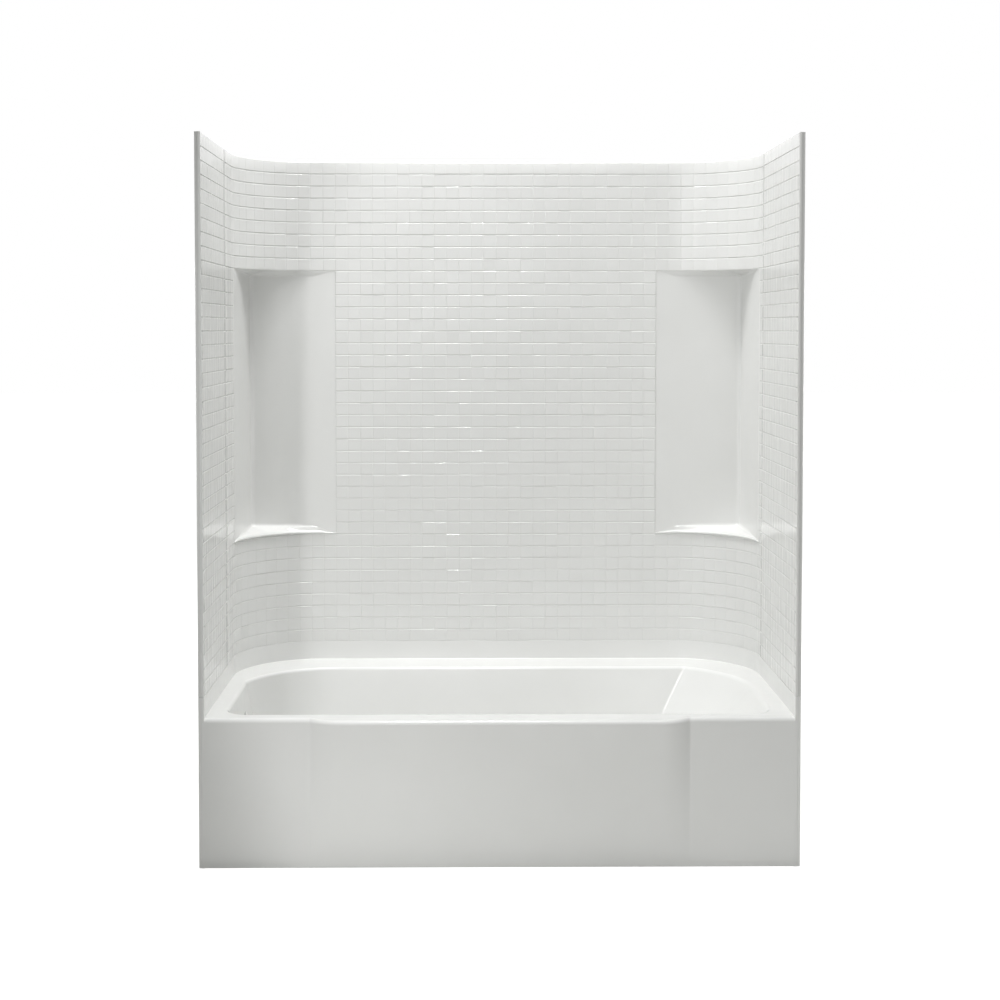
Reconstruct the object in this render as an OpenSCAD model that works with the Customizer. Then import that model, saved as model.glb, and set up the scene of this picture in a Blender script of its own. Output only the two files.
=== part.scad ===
// Alcove bath with a three-panel tiled wall surround.
// Construction frame: X to the right, Y from the flat ends of the apron to the rear studs, Z up.
// The finished model is moved in Y so that its origin is at the middle of its footprint.

/* [Alcove] */
// Width between the side studs, over the nailing flanges
alcove_w = 1524; // [1420:1:1680]
// Depth from the flat ends of the apron to the rear studs
alcove_d = 762; // [735:1:860]
// Height from the floor to the top of the wall panels
unit_h = 1856; // [1700:1:2100]
// Gap between a side stud and the finished end wall
side_gap = 15; // [15:0.5:22]
// Gap between the rear studs and the finished back wall
back_gap = 22; // [16:0.5:34]
// Radius of the rear corners on the finished face
corner_r = 235; // [190:1:260]

/* [Skin] */
// Thickness of the moulded skin
skin = 4; // [3:0.25:5]
// Width of the nailing flanges on the wall panels
nail_w = 34; // [26:1:50]
// Diameter of a nailing hole
nail_hole_d = 5; // [4:0.5:7]
// Spacing of the nailing holes
nail_pitch = 400; // [360:1:406]
// Set-back of the outer half of each front strip
strip_step = 1.5; // [0.5:0.25:2.5]

/* [Bath] */
// Height of the deck above the floor
deck_h = 382; // [345:1:440]
// Height of the upstand from the deck to the wall seat
upstand_h = 54; // [40:1:80]
// Height of the bath's nailing flange above the wall seat
flange_h = 25; // [18:1:40]
// Radius of the rolled front edge of the deck
roll_r = 12; // [8:0.5:18]
// How far the apron's centre stands out at the rim
apron_bulge = 30; // [15:1:45]
// Distance from the middle to the crease at each end of the apron's centre
bulge_half_w = 480; // [420:1:540]
// Width over which the centre blends out from its crease
bulge_blend_w = 70; // [40:1:110]
// Depth of the apron's bottom and side returns
return_d = 46; // [44:1:60]

/* [Basin] */
// Deck width in front of the basin, from the apron's flat ends
deck_front_w = 48; // [44:1:70]
// Deck width behind the basin
deck_back_w = 123; // [90:1:150]
// Deck width at the drain end
deck_left_w = 47; // [35:1:80]
// Deck width at the backrest end
deck_right_w = 47; // [35:1:80]
// Height of the basin floor above the room's floor, at the drain end
basin_floor_h = 60; // [52:1:80]
// Rise of the basin floor from the drain end to the backrest
floor_fall = 6; // [2:0.5:12]
// Slope inwards of the drain end, from rim to floor
left_batter = 45; // [30:1:70]
// Slope inwards of the backrest, from rim to floor
right_batter = 262; // [200:1:300]
// Slope inwards of the front side, from rim to floor
front_batter = 50; // [30:1:60]
// Slope inwards of the back side, from rim to floor
back_batter = 56; // [30:1:70]
// Radius of the rolled edge between deck and basin
basin_roll_r = 14; // [8:0.5:20]
// Radius between the sides and the floor of the basin
basin_floor_r = 48; // [30:1:60]
// Corner radius of the basin at the front of the rim
front_corner_r = 60; // [40:1:90]
// Sweep of the rear corner at the drain end of the rim
left_sweep_r = 258; // [200:1:280]
// Sweep of the rear corner at the backrest end, along the bath
right_sweep_x = 267; // [200:1:300]
// Sweep of the rear corner at the backrest end, across the bath
right_sweep_y = 300; // [220:1:330]
// Corner radius of the basin where its sides reach the floor
floor_corner_r = 92; // [64:1:120]
// Turn of the crease where the backrest meets the back side, in degrees
backrest_crease = 25; // [10:1:35]
// Turn of the crease where the drain end meets the rear corner, in degrees
drain_crease = 18; // [6:1:30]

/* [Waste holes] */
// Diameter of the drain hole
drain_d = 51; // [45:0.5:60]
// Distance from the foot of the drain end to the middle of the drain
drain_inset = 100; // [90:1:140]
// Diameter of the recess round the drain
drain_seat_d = 88; // [80:1:96]
// Depth of the recess round the drain
drain_seat_h = 2.5; // [1:0.25:3]
// Diameter of the overflow hole
overflow_d = 62; // [50:0.5:70]
// Height of the overflow hole above the floor
overflow_h = 278; // [240:1:290]

/* [Walls] */
// Distance from the left seam back to the start of the rear corner
left_seam_lead = 104; // [45:1:140]
// Distance from the right seam back to the start of the rear corner
right_seam_lead = 4; // [3:1:100]
// Thickness of the gasket in each vertical seam
seam_gap = 2; // [1:0.25:4]
// Thickness of the gasket under the wall panels
sill_gap = 2; // [1:0.25:4]
// Height of one moulded tile
tile_h = 35.5; // [30:0.25:40]
// Width of the tiled field between the two niches
tiled_w = 949; // [800:1:1000]
// Width of the groove between two rows of tiles
groove_w = 3; // [2:0.25:5]
// Depth of the groove between two rows of tiles
groove_d = 1.25; // [0.5:0.25:1.5]

/* [Niches] */
// Number of tile rows under a niche
niche_base_rows = 9; // [6:1:12]
// Number of tile rows beside a niche
niche_rows = 22; // [16:1:24]
// Distance from the rear studs to the front edge of a niche
niche_d = 231; // [190:1:245]
// Depth of the niche's back behind the face of the back wall
niche_recess = 2; // [2:0.5:6]
// Slope inwards of the niche's side, from its front edge to its back
niche_batter = 19; // [4:0.5:24]
// Fall of the niche's ceiling from its front edge to its back
ceiling_fall = 14; // [6:0.5:24]
// Length from the tiled field over which that fall sets in
ceiling_taper = 60; // [45:1:80]
// Fall of the shelf from its back to its front edge
shelf_fall = 15; // [6:0.5:24]
// Length from the tiled field over which that fall sets in
shelf_taper = 30; // [20:1:40]
// Thickness of the shelf's rounded front edge
lip_h = 8; // [6:0.5:12]
// How far the shelf's front edge stands proud of the tiles
lip_proud = 5; // [4.5:0.5:6]
// How far the rounded edge stands above the front of the shelf
lip_rise = 1; // [0.5:0.25:2]
// Radius in the niche's rear corner
niche_corner_r = 12; // [6:1:20]

/* [Supports] */
// Width and height of the timber rails and legs
timber = 38; // [30:1:45]
// Half length of the rear rail
rear_rail_half = 560; // [500:1:600]
// Distance from the rear studs to the rear rail
rear_rail_inset = 34; // [30:1:60]
// Thickness of the board under the basin
board_t = 12; // [9:1:16]
// Length of the board under the basin
board_l = 850; // [700:1:880]
// Width of the board under the basin
board_w = 330; // [250:1:340]
// Diameter of a foot under the basin
foot_d = 44; // [30:1:60]
// Thickness of the ribs behind the apron
rib_t = 12; // [8:1:20]
// Depth of the ribs behind the apron
rib_d = 24; // [14:1:26]
// Width of the battens behind the wall panels
batten_w = 40; // [25:1:60]
// Spacing of the battens behind the back wall
batten_pitch = 406; // [300:1:420]

/* [Fasteners] */
// Diameter of a seam rivet
rivet_d = 3.6; // [3:0.1:4]
// Diameter of a seam rivet's heads
rivet_head_d = 5.4; // [4.5:0.1:5.6]
// Thickness of a seam rivet's heads
rivet_head_t = 1.2; // [0.8:0.1:2]
// Number of rivets in each seam
rivet_count = 8; // [4:1:12]
// Diameter of a screw in the front rail
screw_d = 4.5; // [3.5:0.1:5.5]
// Length of a screw in the front rail
screw_l = 28; // [18:1:36]
// Number of screws in the front rail
screw_count = 6; // [3:1:9]
// Clearance round a rivet or screw and behind nested flanges
fit_gap = 0.2; // [0.1:0.05:0.3]

/* [Hidden] */

gloss_white = [0.93, 0.935, 0.93];
pine = [0.80, 0.66, 0.46];
ply = [0.76, 0.62, 0.42];
seal_grey = [0.75, 0.76, 0.75];
nylon = [0.90, 0.90, 0.87];
zinc = [0.70, 0.71, 0.73];
rubber_black = [0.12, 0.12, 0.12];

arc_fn = 96;
hole_fn = 32;
eps = 0.01;
flush = 0.1;

// Finished faces and levels
stud_x = alcove_w / 2;
half_w = stud_x - side_gap;
back_y = alcove_d - back_gap;
arc_y = back_y - corner_r;
arc_x = half_w - corner_r;
left_seam_y = arc_y - left_seam_lead;
right_seam_y = arc_y - right_seam_lead;
seat_h = deck_h + upstand_h;
wall_z = seat_h + sill_gap;
y_shift = -(alcove_d - apron_bulge) / 2;

// Wall flanges: the joint flanges stop clear of the flanges at the stud face
nest_gap = 1;
foot_w = side_gap - 2 * skin - nest_gap;
leg_z = seat_h + flange_h + 3;
gasket_recess = 1;

// Basin outline at the rim and where the sides would meet the floor
rim_left = -half_w + deck_left_w;
rim_right = half_w - deck_right_w;
rim_front = deck_front_w;
rim_back = back_y - deck_back_w;
side_rise = deck_h - basin_floor_h;
floor_l = (rim_right - right_batter) - (rim_left + left_batter);
floor_slope = floor_fall / floor_l;
corner_steps = 9;
sweep_steps = 12;
roll_steps = 5;
fillet_steps = 6;
side_steps = 4;

// Niche levels
niche_z = seat_h + niche_base_rows * tile_h;
niche_top = niche_z + niche_rows * tile_h;
lip_z = niche_z + groove_w / 2 + 0.25;
niche_y = alcove_d - niche_d;
niche_back = back_y + niche_recess;
niche_x = tiled_w / 2;
niche_side_front = arc_x + sqrt(corner_r * corner_r - pow(niche_y - arc_y, 2));
niche_side_back = niche_side_front - niche_batter;

// Supports
rear_rail_y = alcove_d - rear_rail_inset - timber;
board_x = rim_left + left_batter + drain_inset + drain_seat_d / 2 + 12;
board_y = (rim_front + front_batter + rim_back - back_batter - board_w) / 2;
drain_x = rim_left + left_batter + drain_inset;
drain_y = (rim_front + rim_back) / 2;
drain_boss_t = 3;
rib_x = [-0.83 * half_w, -0.32 * half_w, 0, 0.32 * half_w, 0.83 * half_w];
leg_x = [-0.64 * half_w, -0.21 * half_w, 0.21 * half_w, 0.64 * half_w];

module placed() {
    translate([0, y_shift, 0]) children();
}

module slab(z0, z1) {
    translate([0, 0, z0]) linear_extrude(z1 - z0) children();
}

module block(x, y, z) {
    translate([x[0], y[0], z[0]]) cube([x[1] - x[0], y[1] - y[0], z[1] - z[0]]);
}

// Plan of the finished room, open at the front and grown outwards by g
module room_plan(g = 0) {
    translate([-half_w - g, 0]) square([2 * (half_w + g), arc_y]);
    translate([-arc_x, 0]) square([2 * arc_x, back_y + g]);
    for (side = [-1, 1])
        translate([side * arc_x, arc_y]) circle(r = corner_r + g, $fn = arc_fn);
}

// Plan of a wall on the outside of the finished room, from one growth to another
module room_wall(g0, g1) {
    difference() {
        room_plan(g1);
        room_plan(g0);
    }
}

// Plan of everything between the studs
module stud_plan(inset = 0) {
    translate([-stud_x + inset, 0]) square([2 * (stud_x - inset), alcove_d - inset]);
}

// Plan of everything behind a line across the alcove
module behind(y) {
    translate([-stud_x, y]) square([alcove_w, alcove_d]);
}

// The part of a plan that belongs to the back wall, behind the two seams
module back_zone() {
    translate([-stud_x, left_seam_y + seam_gap / 2]) square([stud_x + eps, alcove_d]);
    translate([0, right_seam_y + seam_gap / 2]) square([stud_x, alcove_d]);
}

// Front strip at the right: a face flush with the apron and a set-back outer half
module front_strip(z0, z1) {
    mid_x = half_w + side_gap / 2;
    slab(z0, z1) polygon([[half_w, 0], [mid_x, 0], [mid_x, strip_step],
                          [stud_x, strip_step], [stud_x, skin], [half_w, skin]]);
}

// Bulge of the apron at the rim for a station along the bath
function bulge(x) =
    let (flat = bulge_half_w - bulge_blend_w, u = (abs(x) - flat) / bulge_blend_w)
    (apron_bulge + flush) * (u <= 0 ? 1 : u >= 1 ? 0 : 1 - u * u);

// Face of the apron at a height
function apron_y(x, z) = flush - bulge(x) * z / (deck_h - roll_r);

// Section of the apron: bottom return, leaning face, rolled edge and a strip sunk in the deck
function apron_section(x) =
    let (top = deck_h - roll_r, yc = apron_y(x, top) + roll_r, lap = roll_r + skin)
    concat(
        [[return_d, 0]],
        [for (i = [0:3]) [apron_y(x, top * i / 3), top * i / 3]],
        [for (i = [1:roll_steps]) let (a = 90 * i / roll_steps)
            [yc - roll_r * cos(a), top + (roll_r - flush) * sin(a)]],
        [[lap, deck_h - flush], [lap, deck_h - skin + flush]],
        [for (i = [roll_steps:-1:1]) let (a = 90 * i / roll_steps)
            [yc - (roll_r - skin) * cos(a), top + (roll_r - skin + flush) * sin(a)]],
        [for (i = [3:-1:1]) [apron_y(x, top * i / 3) + skin, top * i / 3]],
        [[skin, skin], [return_d, skin]]
    );

// Solid through a row of sections with the same number of points, with caps in one face or in a fan
module loft(rings, fan_caps = false) {
    n = len(rings[0]);
    last = (len(rings) - 1) * n;
    sides = [for (j = [0:n:last - 1]) for (i = [0:n - 1])
        let (a = j + i, b = j + (i + 1) % n)
        each [[a, b, b + n], [a, b + n, a + n]]];
    caps = fan_caps
        ? [for (i = [1:n - 2]) each [[0, i + 1, i], [last, last + i, last + i + 1]]]
        : [[for (i = [n - 1:-1:0]) i], [for (i = [0:n - 1]) last + i]];
    polyhedron(points = [for (ring = rings) each ring], faces = concat(sides, caps), convexity = 10);
}

// Apron between the front strips, with its ends sunk in them
module apron() {
    flat = bulge_half_w - bulge_blend_w;
    half = concat([for (i = [0:7]) flat + bulge_blend_w * i / 7], [half_w + skin / 2]);
    stations = concat([for (i = [len(half) - 1:-1:0]) -half[i]], half);
    loft([for (x = stations) [for (p = apron_section(x)) [x, p[0], p[1]]]]);
}

// Basin outline at share s of the way from floor to rim, grown outwards by g, at height z
function basin_ring(s, g, z) =
    let (
        left = rim_left + left_batter * (1 - s) - g,
        right = rim_right - right_batter * (1 - s) + g,
        front = rim_front + front_batter * (1 - s) - g,
        back = rim_back - back_batter * (1 - s) + g,
        rf = floor_corner_r + (front_corner_r - floor_corner_r) * s + g,
        lr = floor_corner_r + (left_sweep_r - floor_corner_r) * s + g,
        rx = floor_corner_r + (right_sweep_x - floor_corner_r) * s + g,
        ry = floor_corner_r + (right_sweep_y - floor_corner_r) * s + g,
        turn = 90 - backrest_crease,
        fall = floor_slope * pow(1 - s, 2)
    )
    [for (p = concat(
        [for (i = [0:corner_steps]) let (a = 180 + 90 * i / corner_steps)
            [left + rf + rf * cos(a), front + rf + rf * sin(a)]],
        [for (i = [0:corner_steps]) let (a = 270 + 90 * i / corner_steps)
            [right - rf + rf * cos(a), front + rf + rf * sin(a)]],
        [for (i = [0:sweep_steps]) let (a = turn * i / sweep_steps)
            [right - rx + rx * cos(a), back - ry * sin(turn) + ry * sin(a)]],
        [for (i = [0:sweep_steps]) let (a = 90 + (90 - drain_crease) * i / sweep_steps)
            [left + lr * cos(drain_crease) + lr * cos(a), back - lr + lr * sin(a)]]
    )) [p[0], p[1], z + fall * (p[0] - rim_left - left_batter)]];

function side_share(z) = (z - basin_floor_h) / side_rise;

// Blend that leaves the first value towards the second and arrives at the third
function bend(u, a, b, c) = a * pow(1 - u, 2) + 2 * b * u * (1 - u) + c * u * u;

// Rings from deck to floor; t is how far they lie behind the basin's face
function basin_rings(t) =
    let (
        z_floor = basin_floor_h - t,
        z_rim = deck_h - t,
        z1 = basin_floor_h + basin_floor_r,
        z2 = deck_h - basin_roll_r
    )
    concat(
        [basin_ring(1, basin_roll_r, z_rim + (t > 0 ? t / 2 : skin))],
        [for (i = [0:roll_steps]) let (u = i / roll_steps)
            basin_ring(bend(u, 1, 1, side_share(z2)), bend(u, basin_roll_r, t, t),
                       bend(u, z_rim, z_rim, z2))],
        [for (i = [1:side_steps - 1]) let (z = z2 + (z1 - z2) * i / side_steps)
            basin_ring(side_share(z), t, z)],
        [for (i = [0:fillet_steps]) let (u = i / fillet_steps)
            basin_ring(bend(u, side_share(z1), 0, 0), bend(u, t, t, t - basin_floor_r),
                       bend(u, z1, z_floor, z_floor))]
    );

// Middle of the skin at the overflow and the lean of the drain end there
overflow_lean = atan(left_batter / side_rise);
overflow_x = rim_left + left_batter * (1 - side_share(overflow_h)) - skin / 2;

module bath() color(gloss_white) placed() difference() {
    union() {
        apron();
        slab(deck_h - skin, deck_h) intersection() {
            room_plan();
            behind(roll_r);
        }
        slab(deck_h - skin, seat_h - skin) intersection() {
            room_wall(0, skin);
            behind(skin);
        }
        slab(seat_h - skin, seat_h) intersection() {
            difference() {
                stud_plan();
                room_plan();
            }
            behind(skin);
        }
        slab(seat_h, seat_h + flange_h) difference() {
            intersection() {
                stud_plan();
                behind(skin + nest_gap);
            }
            stud_plan(skin);
        }
        for (side = [0, 1]) mirror([side, 0, 0]) {
            front_strip(flush, seat_h);
            block([stud_x - skin, stud_x], [skin, return_d], [flush, seat_h - skin]);
        }
        loft(basin_rings(skin), fan_caps = true);
        translate([drain_x, drain_y, basin_floor_h - skin - drain_boss_t])
            cylinder(d = drain_seat_d + 2 * skin, h = skin + drain_boss_t, $fn = arc_fn);
    }
    loft(basin_rings(0), fan_caps = true);
    translate([drain_x, drain_y, basin_floor_h - drain_seat_h])
        cylinder(d = drain_seat_d, h = drain_seat_h + skin, $fn = arc_fn);
    translate([drain_x, drain_y, 0]) cylinder(d = drain_d, h = deck_h / 2, $fn = arc_fn);
    translate([overflow_x, drain_y, overflow_h]) rotate([0, 90 - overflow_lean, 0])
        cylinder(d = overflow_d, h = 10 * skin, center = true, $fn = arc_fn);
    bath_nail_holes();
    front_rail_screw_places() {
        translate([0, 0, -eps]) cylinder(d = screw_d + 2 * fit_gap, h = skin + 1, $fn = hole_fn);
        translate([0, 0, -eps])
            cylinder(d1 = 2 * screw_d + 2 * fit_gap, d2 = screw_d + 2 * fit_gap, h = screw_d / 2, $fn = hole_fn);
    }
}

// Nailing holes of the bath: two in each side flange and four in the back flange
bath_hole_z = seat_h + flange_h / 2;
side_hole_y = [120, 120 + nail_pitch];
back_hole_x = [for (i = [0:3]) (i - 1.5) * nail_pitch];
module bath_nail_holes() {
    for (side = [-1, 1]) for (y = side_hole_y)
        translate([side * (stud_x - skin / 2), y, bath_hole_z]) rotate([0, 90, 0])
            cylinder(d = nail_hole_d, h = 3 * skin, center = true, $fn = hole_fn);
    for (x = back_hole_x)
        translate([x, alcove_d - skin / 2, bath_hole_z]) rotate([90, 0, 0])
            cylinder(d = nail_hole_d, h = 3 * skin, center = true, $fn = hole_fn);
}

// Panel above the bath, with its foot on the gasket and its return to the studs at the top
module wall_panel() {
    slab(wall_z, unit_h) intersection() {
        room_wall(0, skin);
        children();
    }
    slab(wall_z, wall_z + skin) intersection() {
        room_wall(skin, foot_w + skin);
        children();
    }
    slab(unit_h - skin, unit_h) intersection() {
        difference() {
            stud_plan();
            room_plan(skin);
        }
        children();
    }
}

// Grooves between the rows of tiles, in the faces of the room
row_count = floor((unit_h - seat_h - groove_w) / tile_h);
module tile_grooves() {
    for (i = [1:row_count])
        slab(seat_h + i * tile_h - groove_w / 2, seat_h + i * tile_h + groove_w / 2) difference() {
            room_plan(groove_d);
            room_plan(-skin);
        }
}

module end_zone(side) {
    seam = side < 0 ? left_seam_y : right_seam_y;
    translate([side < 0 ? -stud_x : 0, skin]) square([stud_x, seam - seam_gap / 2 - skin]);
}

module end_wall(side) {
    seam = side < 0 ? left_seam_y : right_seam_y;
    end_y = seam - seam_gap / 2;
    difference() {
        union() {
            wall_panel() end_zone(side);
            mirror([side < 0 ? 1 : 0, 0, 0]) {
                front_strip(wall_z, unit_h);
                block([stud_x - skin, stud_x], [skin, nail_w], [leg_z, unit_h - skin]);
                block([half_w + skin, half_w + foot_w + skin], [end_y - skin, end_y],
                      [wall_z + skin, unit_h - skin]);
            }
        }
        tile_grooves();
        rivet_places(side) cylinder(d = rivet_d + 2 * fit_gap, h = 6 * skin, center = true, $fn = hole_fn);
        wall_nail_holes(side, (nail_w + skin) / 2);
    }
}

// Nailing holes in a flange at the side stud face
wall_hole_z = [for (i = [0:3]) leg_z + 90 + i * nail_pitch];
module wall_nail_holes(side, y) {
    for (z = wall_hole_z)
        translate([side * (stud_x - skin / 2), y, z]) rotate([0, 90, 0])
            cylinder(d = nail_hole_d, h = 2 * skin, center = true, $fn = hole_fn);
}

// Rivets stand between the panel and the stud face, along the seam
rivet_x = half_w + skin + foot_w / 2;
rivet_z = [for (i = [0:rivet_count - 1])
    wall_z + 60 + i * (unit_h - wall_z - 120) / (rivet_count - 1)];
module rivet_places(side) {
    seam = side < 0 ? left_seam_y : right_seam_y;
    for (z = rivet_z) translate([side * rivet_x, seam, z]) rotate([90, 0, 0]) children();
}

module left_end_wall() color(gloss_white) placed() end_wall(-1);

module right_end_wall() color(gloss_white) placed() end_wall(1);

// Plan lines across the right-hand niche from the tiled field to its front edge: a point in the room,
// one on its mouth and one behind its inner wall
niche_lines = let (
        first_a = acos(max(0, niche_x + ceiling_taper - arc_x) / corner_r),
        last_a = asin((niche_y - arc_y) / corner_r) - 0.5,
        first_x = arc_x + corner_r * cos(first_a),
        far = [niche_side_back + 1, niche_back + 1])
    concat(
        [for (x = [niche_x - 5, niche_x, niche_x + shelf_taper])
            [[x, back_y - lip_proud], [x, back_y], [x, far.y]]],
        [for (i = [0:6]) let (a = first_a + (last_a - first_a) * i / 6, t = min(1, i / 4))
            [[arc_x + (corner_r - lip_proud) * cos(a), arc_y + (corner_r - lip_proud) * sin(a)],
             [arc_x + corner_r * cos(a), arc_y + corner_r * sin(a)],
             [first_x + (far.x - first_x) * t, far.y]]],
        [[[half_w + 1, niche_y - 25], [half_w + skin, niche_y - 25], [half_w + skin + 2, niche_back + 18]]]
    );

// Solid on the outer side of a surface that is level along the niche's mouth and slopes behind it
module niche_bound(z_mouth, z_rise, taper, z_far) {
    loft([for (line = niche_lines)
        let (z = z_mouth + z_rise * min(1, max(0, (line[2].x - niche_x) / taper)),
             face = [[each line[0], z_mouth], [each line[1], z_mouth], [each line[2], z]],
             far = [[each line[2], z_far], [each line[0], z_far]])
            z_far < z_mouth ? concat(face, far) : [for (i = [4:-1:0]) concat(face, far)[i]]],
        fan_caps = true);
}

// Cavity of the right-hand niche, between the sloping shelf and the sloping ceiling
module niche_cavity() {
    shelf_z = lip_z + lip_h - lip_rise;
    difference() {
        slab(niche_z, niche_top + 1) {
            polygon([[niche_x, niche_back], [niche_x, arc_y], [arc_x, arc_y - 20],
                     [half_w - 2 * skin, niche_y], [niche_side_front, niche_y],
                     [niche_side_back, niche_back - niche_corner_r],
                     [niche_side_back - niche_corner_r, niche_back]]);
            intersection() {
                translate([niche_side_back - niche_corner_r, niche_back - niche_corner_r])
                    circle(r = niche_corner_r, $fn = arc_fn);
                translate([niche_side_back - niche_corner_r, niche_back - niche_corner_r])
                    square(niche_corner_r + 1);
            }
        }
        niche_bound(shelf_z, shelf_fall, shelf_taper, niche_z - 10);
        niche_bound(niche_top, -ceiling_fall, ceiling_taper, niche_top + 10);
    }
}

// Box of skin round the niche cavity, behind the rounded corner
module niche_casing() {
    slab(niche_z - skin, niche_top + skin) {
        polygon([[niche_x - skin, back_y + skin / 2], [niche_x - skin, niche_back + skin],
                 [niche_side_back + skin - niche_corner_r, niche_back + skin],
                 [niche_side_back + skin, niche_back - niche_corner_r],
                 [niche_side_front + skin, niche_y - skin], [niche_side_front, niche_y - skin],
                 [arc_x + corner_r * cos(45) + skin / 2, arc_y + corner_r * sin(45) + skin / 2],
                 [arc_x, back_y + skin / 2]]);
        translate([niche_side_back - niche_corner_r, niche_back - niche_corner_r])
            circle(r = niche_corner_r + skin, $fn = arc_fn);
    }
}

// Rounded front edge of the shelf along the corner's arc
module shelf_lip() {
    start = asin((niche_y - arc_y) / corner_r) - 1;
    z = lip_z + lip_h / 2;
    translate([arc_x, arc_y, z]) mirror([1, -1, 0]) rotate_extrude(angle = 90 - start, $fn = arc_fn)
        translate([corner_r + lip_h / 2 - lip_proud, 0]) circle(d = lip_h, $fn = hole_fn);
    translate([niche_x, back_y + lip_h / 2 - lip_proud, z]) rotate([0, 90, 0])
        cylinder(d = lip_h, h = arc_x - niche_x, $fn = hole_fn);
}

module back_wall() color(gloss_white) placed() difference() {
    union() {
        difference() {
            union() {
                wall_panel() back_zone();
                for (side = [0, 1]) mirror([side, 0, 0]) niche_casing();
            }
            for (side = [0, 1]) mirror([side, 0, 0]) niche_cavity();
            tile_grooves();
        }
        for (side = [0, 1]) mirror([side, 0, 0]) shelf_lip();
        seam_flange(-1, left_seam_y + seam_gap / 2);
        seam_flange(1, right_seam_y + seam_gap / 2);
    }
    for (side = [-1, 1]) {
        rivet_places(side) cylinder(d = rivet_d + 2 * fit_gap, h = 6 * skin, center = true, $fn = hole_fn);
        wall_nail_holes(side, (side < 0 ? left_seam_y : right_seam_y) - nail_w / 2);
    }
}

// Joint flange of the back wall, with a nailing leg that runs forwards behind the end wall
module seam_flange(side, y) {
    mirror([side < 0 ? 1 : 0, 0, 0]) {
        block([half_w + skin, half_w + foot_w + skin], [y, y + skin], [wall_z + skin, unit_h - skin]);
        block([half_w + foot_w + skin, stud_x - skin], [y, y + skin], [leg_z, unit_h - skin]);
        block([stud_x - skin, stud_x], [y - nail_w, y + skin], [leg_z, unit_h - skin - nest_gap]);
    }
}

module seam_gasket(side) {
    seam = side < 0 ? left_seam_y : right_seam_y;
    difference() {
        mirror([side < 0 ? 1 : 0, 0, 0])
            block([half_w + gasket_recess, half_w + foot_w + skin],
                  [seam - seam_gap / 2, seam + seam_gap / 2], [wall_z, unit_h]);
        rivet_places(side) cylinder(d = rivet_d + 2 * fit_gap, h = 6 * skin, center = true, $fn = hole_fn);
    }
}

module left_seam_gasket() color(seal_grey) placed() seam_gasket(-1);

module right_seam_gasket() color(seal_grey) placed() seam_gasket(1);

module seam_rivets(side) {
    grip = 2 * skin + seam_gap;
    rivet_places(side) {
        cylinder(d = rivet_d, h = grip + 2 * rivet_head_t, center = true, $fn = hole_fn);
        for (end = [0, 1]) mirror([0, 0, end]) translate([0, 0, grip / 2])
            cylinder(d1 = rivet_head_d, d2 = rivet_d, h = rivet_head_t, $fn = hole_fn);
    }
}

module left_seam_rivets() color(nylon) placed() seam_rivets(-1);

module right_seam_rivets() color(nylon) placed() seam_rivets(1);

// Gasket between the foot of the panels and the bath's seat
module sill_gasket() {
    slab(seat_h, wall_z) intersection() {
        difference() {
            room_plan(foot_w + skin);
            room_plan(gasket_recess);
        }
        children();
    }
}

module back_sill_gasket() color(seal_grey) placed() sill_gasket() {
    translate([-stud_x, left_seam_y]) square([stud_x, alcove_d]);
    translate([0, right_seam_y]) square([stud_x, alcove_d]);
}

module left_sill_gasket() color(seal_grey) placed()
    sill_gasket() translate([-stud_x, skin]) square([stud_x, left_seam_y - skin]);

module right_sill_gasket() color(seal_grey) placed()
    sill_gasket() translate([0, skin]) square([stud_x, right_seam_y - skin]);

// Battens fill the space between a panel and the studs
batten_z = [leg_z + 12, unit_h - skin];
module back_wall_battens() color(pine) placed()
    for (i = [-1:1])
        translate([i * batten_pitch, 0, 0])
            block([-batten_w / 2, batten_w / 2], [back_y + skin, alcove_d], batten_z);

module end_battens(side) {
    seam = side < 0 ? left_seam_y : right_seam_y;
    count = 2;
    first = nail_w + batten_w;
    last = seam - nail_w - batten_w;
    mirror([side < 0 ? 1 : 0, 0, 0])
        for (i = [0:count - 1])
            let (y = first + (last - first) * i / (count - 1))
                block([half_w + skin, stud_x], [y - batten_w / 2, y + batten_w / 2], batten_z);
}

module left_wall_battens() color(pine) placed() end_battens(-1);

module right_wall_battens() color(pine) placed() end_battens(1);

// Rail that stands on the apron's bottom return
rail_half = half_w - skin;
module front_base_rail() color(pine) placed() difference() {
    block([-rail_half, rail_half], [skin, skin + timber], [skin, skin + timber]);
    front_rail_screw_places() cylinder(d = screw_d + 2 * fit_gap, h = screw_l + 1, $fn = hole_fn);
}

module front_rail_screw_places() {
    span = 2 * (rail_half - 80);
    for (i = [0:screw_count - 1])
        translate([-span / 2 + span * i / (screw_count - 1), skin + timber / 2, 0]) children();
}

screw_head_z = 0.3;
module front_rail_screws() color(zinc) placed() front_rail_screw_places()
    translate([0, 0, screw_head_z]) {
        cylinder(d1 = 2 * screw_d, d2 = screw_d, h = screw_d / 2, $fn = hole_fn);
        cylinder(d = screw_d, h = screw_l - 3, $fn = hole_fn);
        translate([0, 0, screw_l - 3 - eps]) cylinder(d1 = screw_d, d2 = 1, h = 3, $fn = hole_fn);
    }

module rear_base_rail() color(pine) placed()
    block([-rear_rail_half, rear_rail_half], [rear_rail_y, rear_rail_y + timber], [0, timber]);

module rear_legs() color(pine) placed()
    for (x = leg_x)
        block([x - timber / 2, x + timber / 2], [rear_rail_y, rear_rail_y + timber], [timber, deck_h - skin]);

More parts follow.
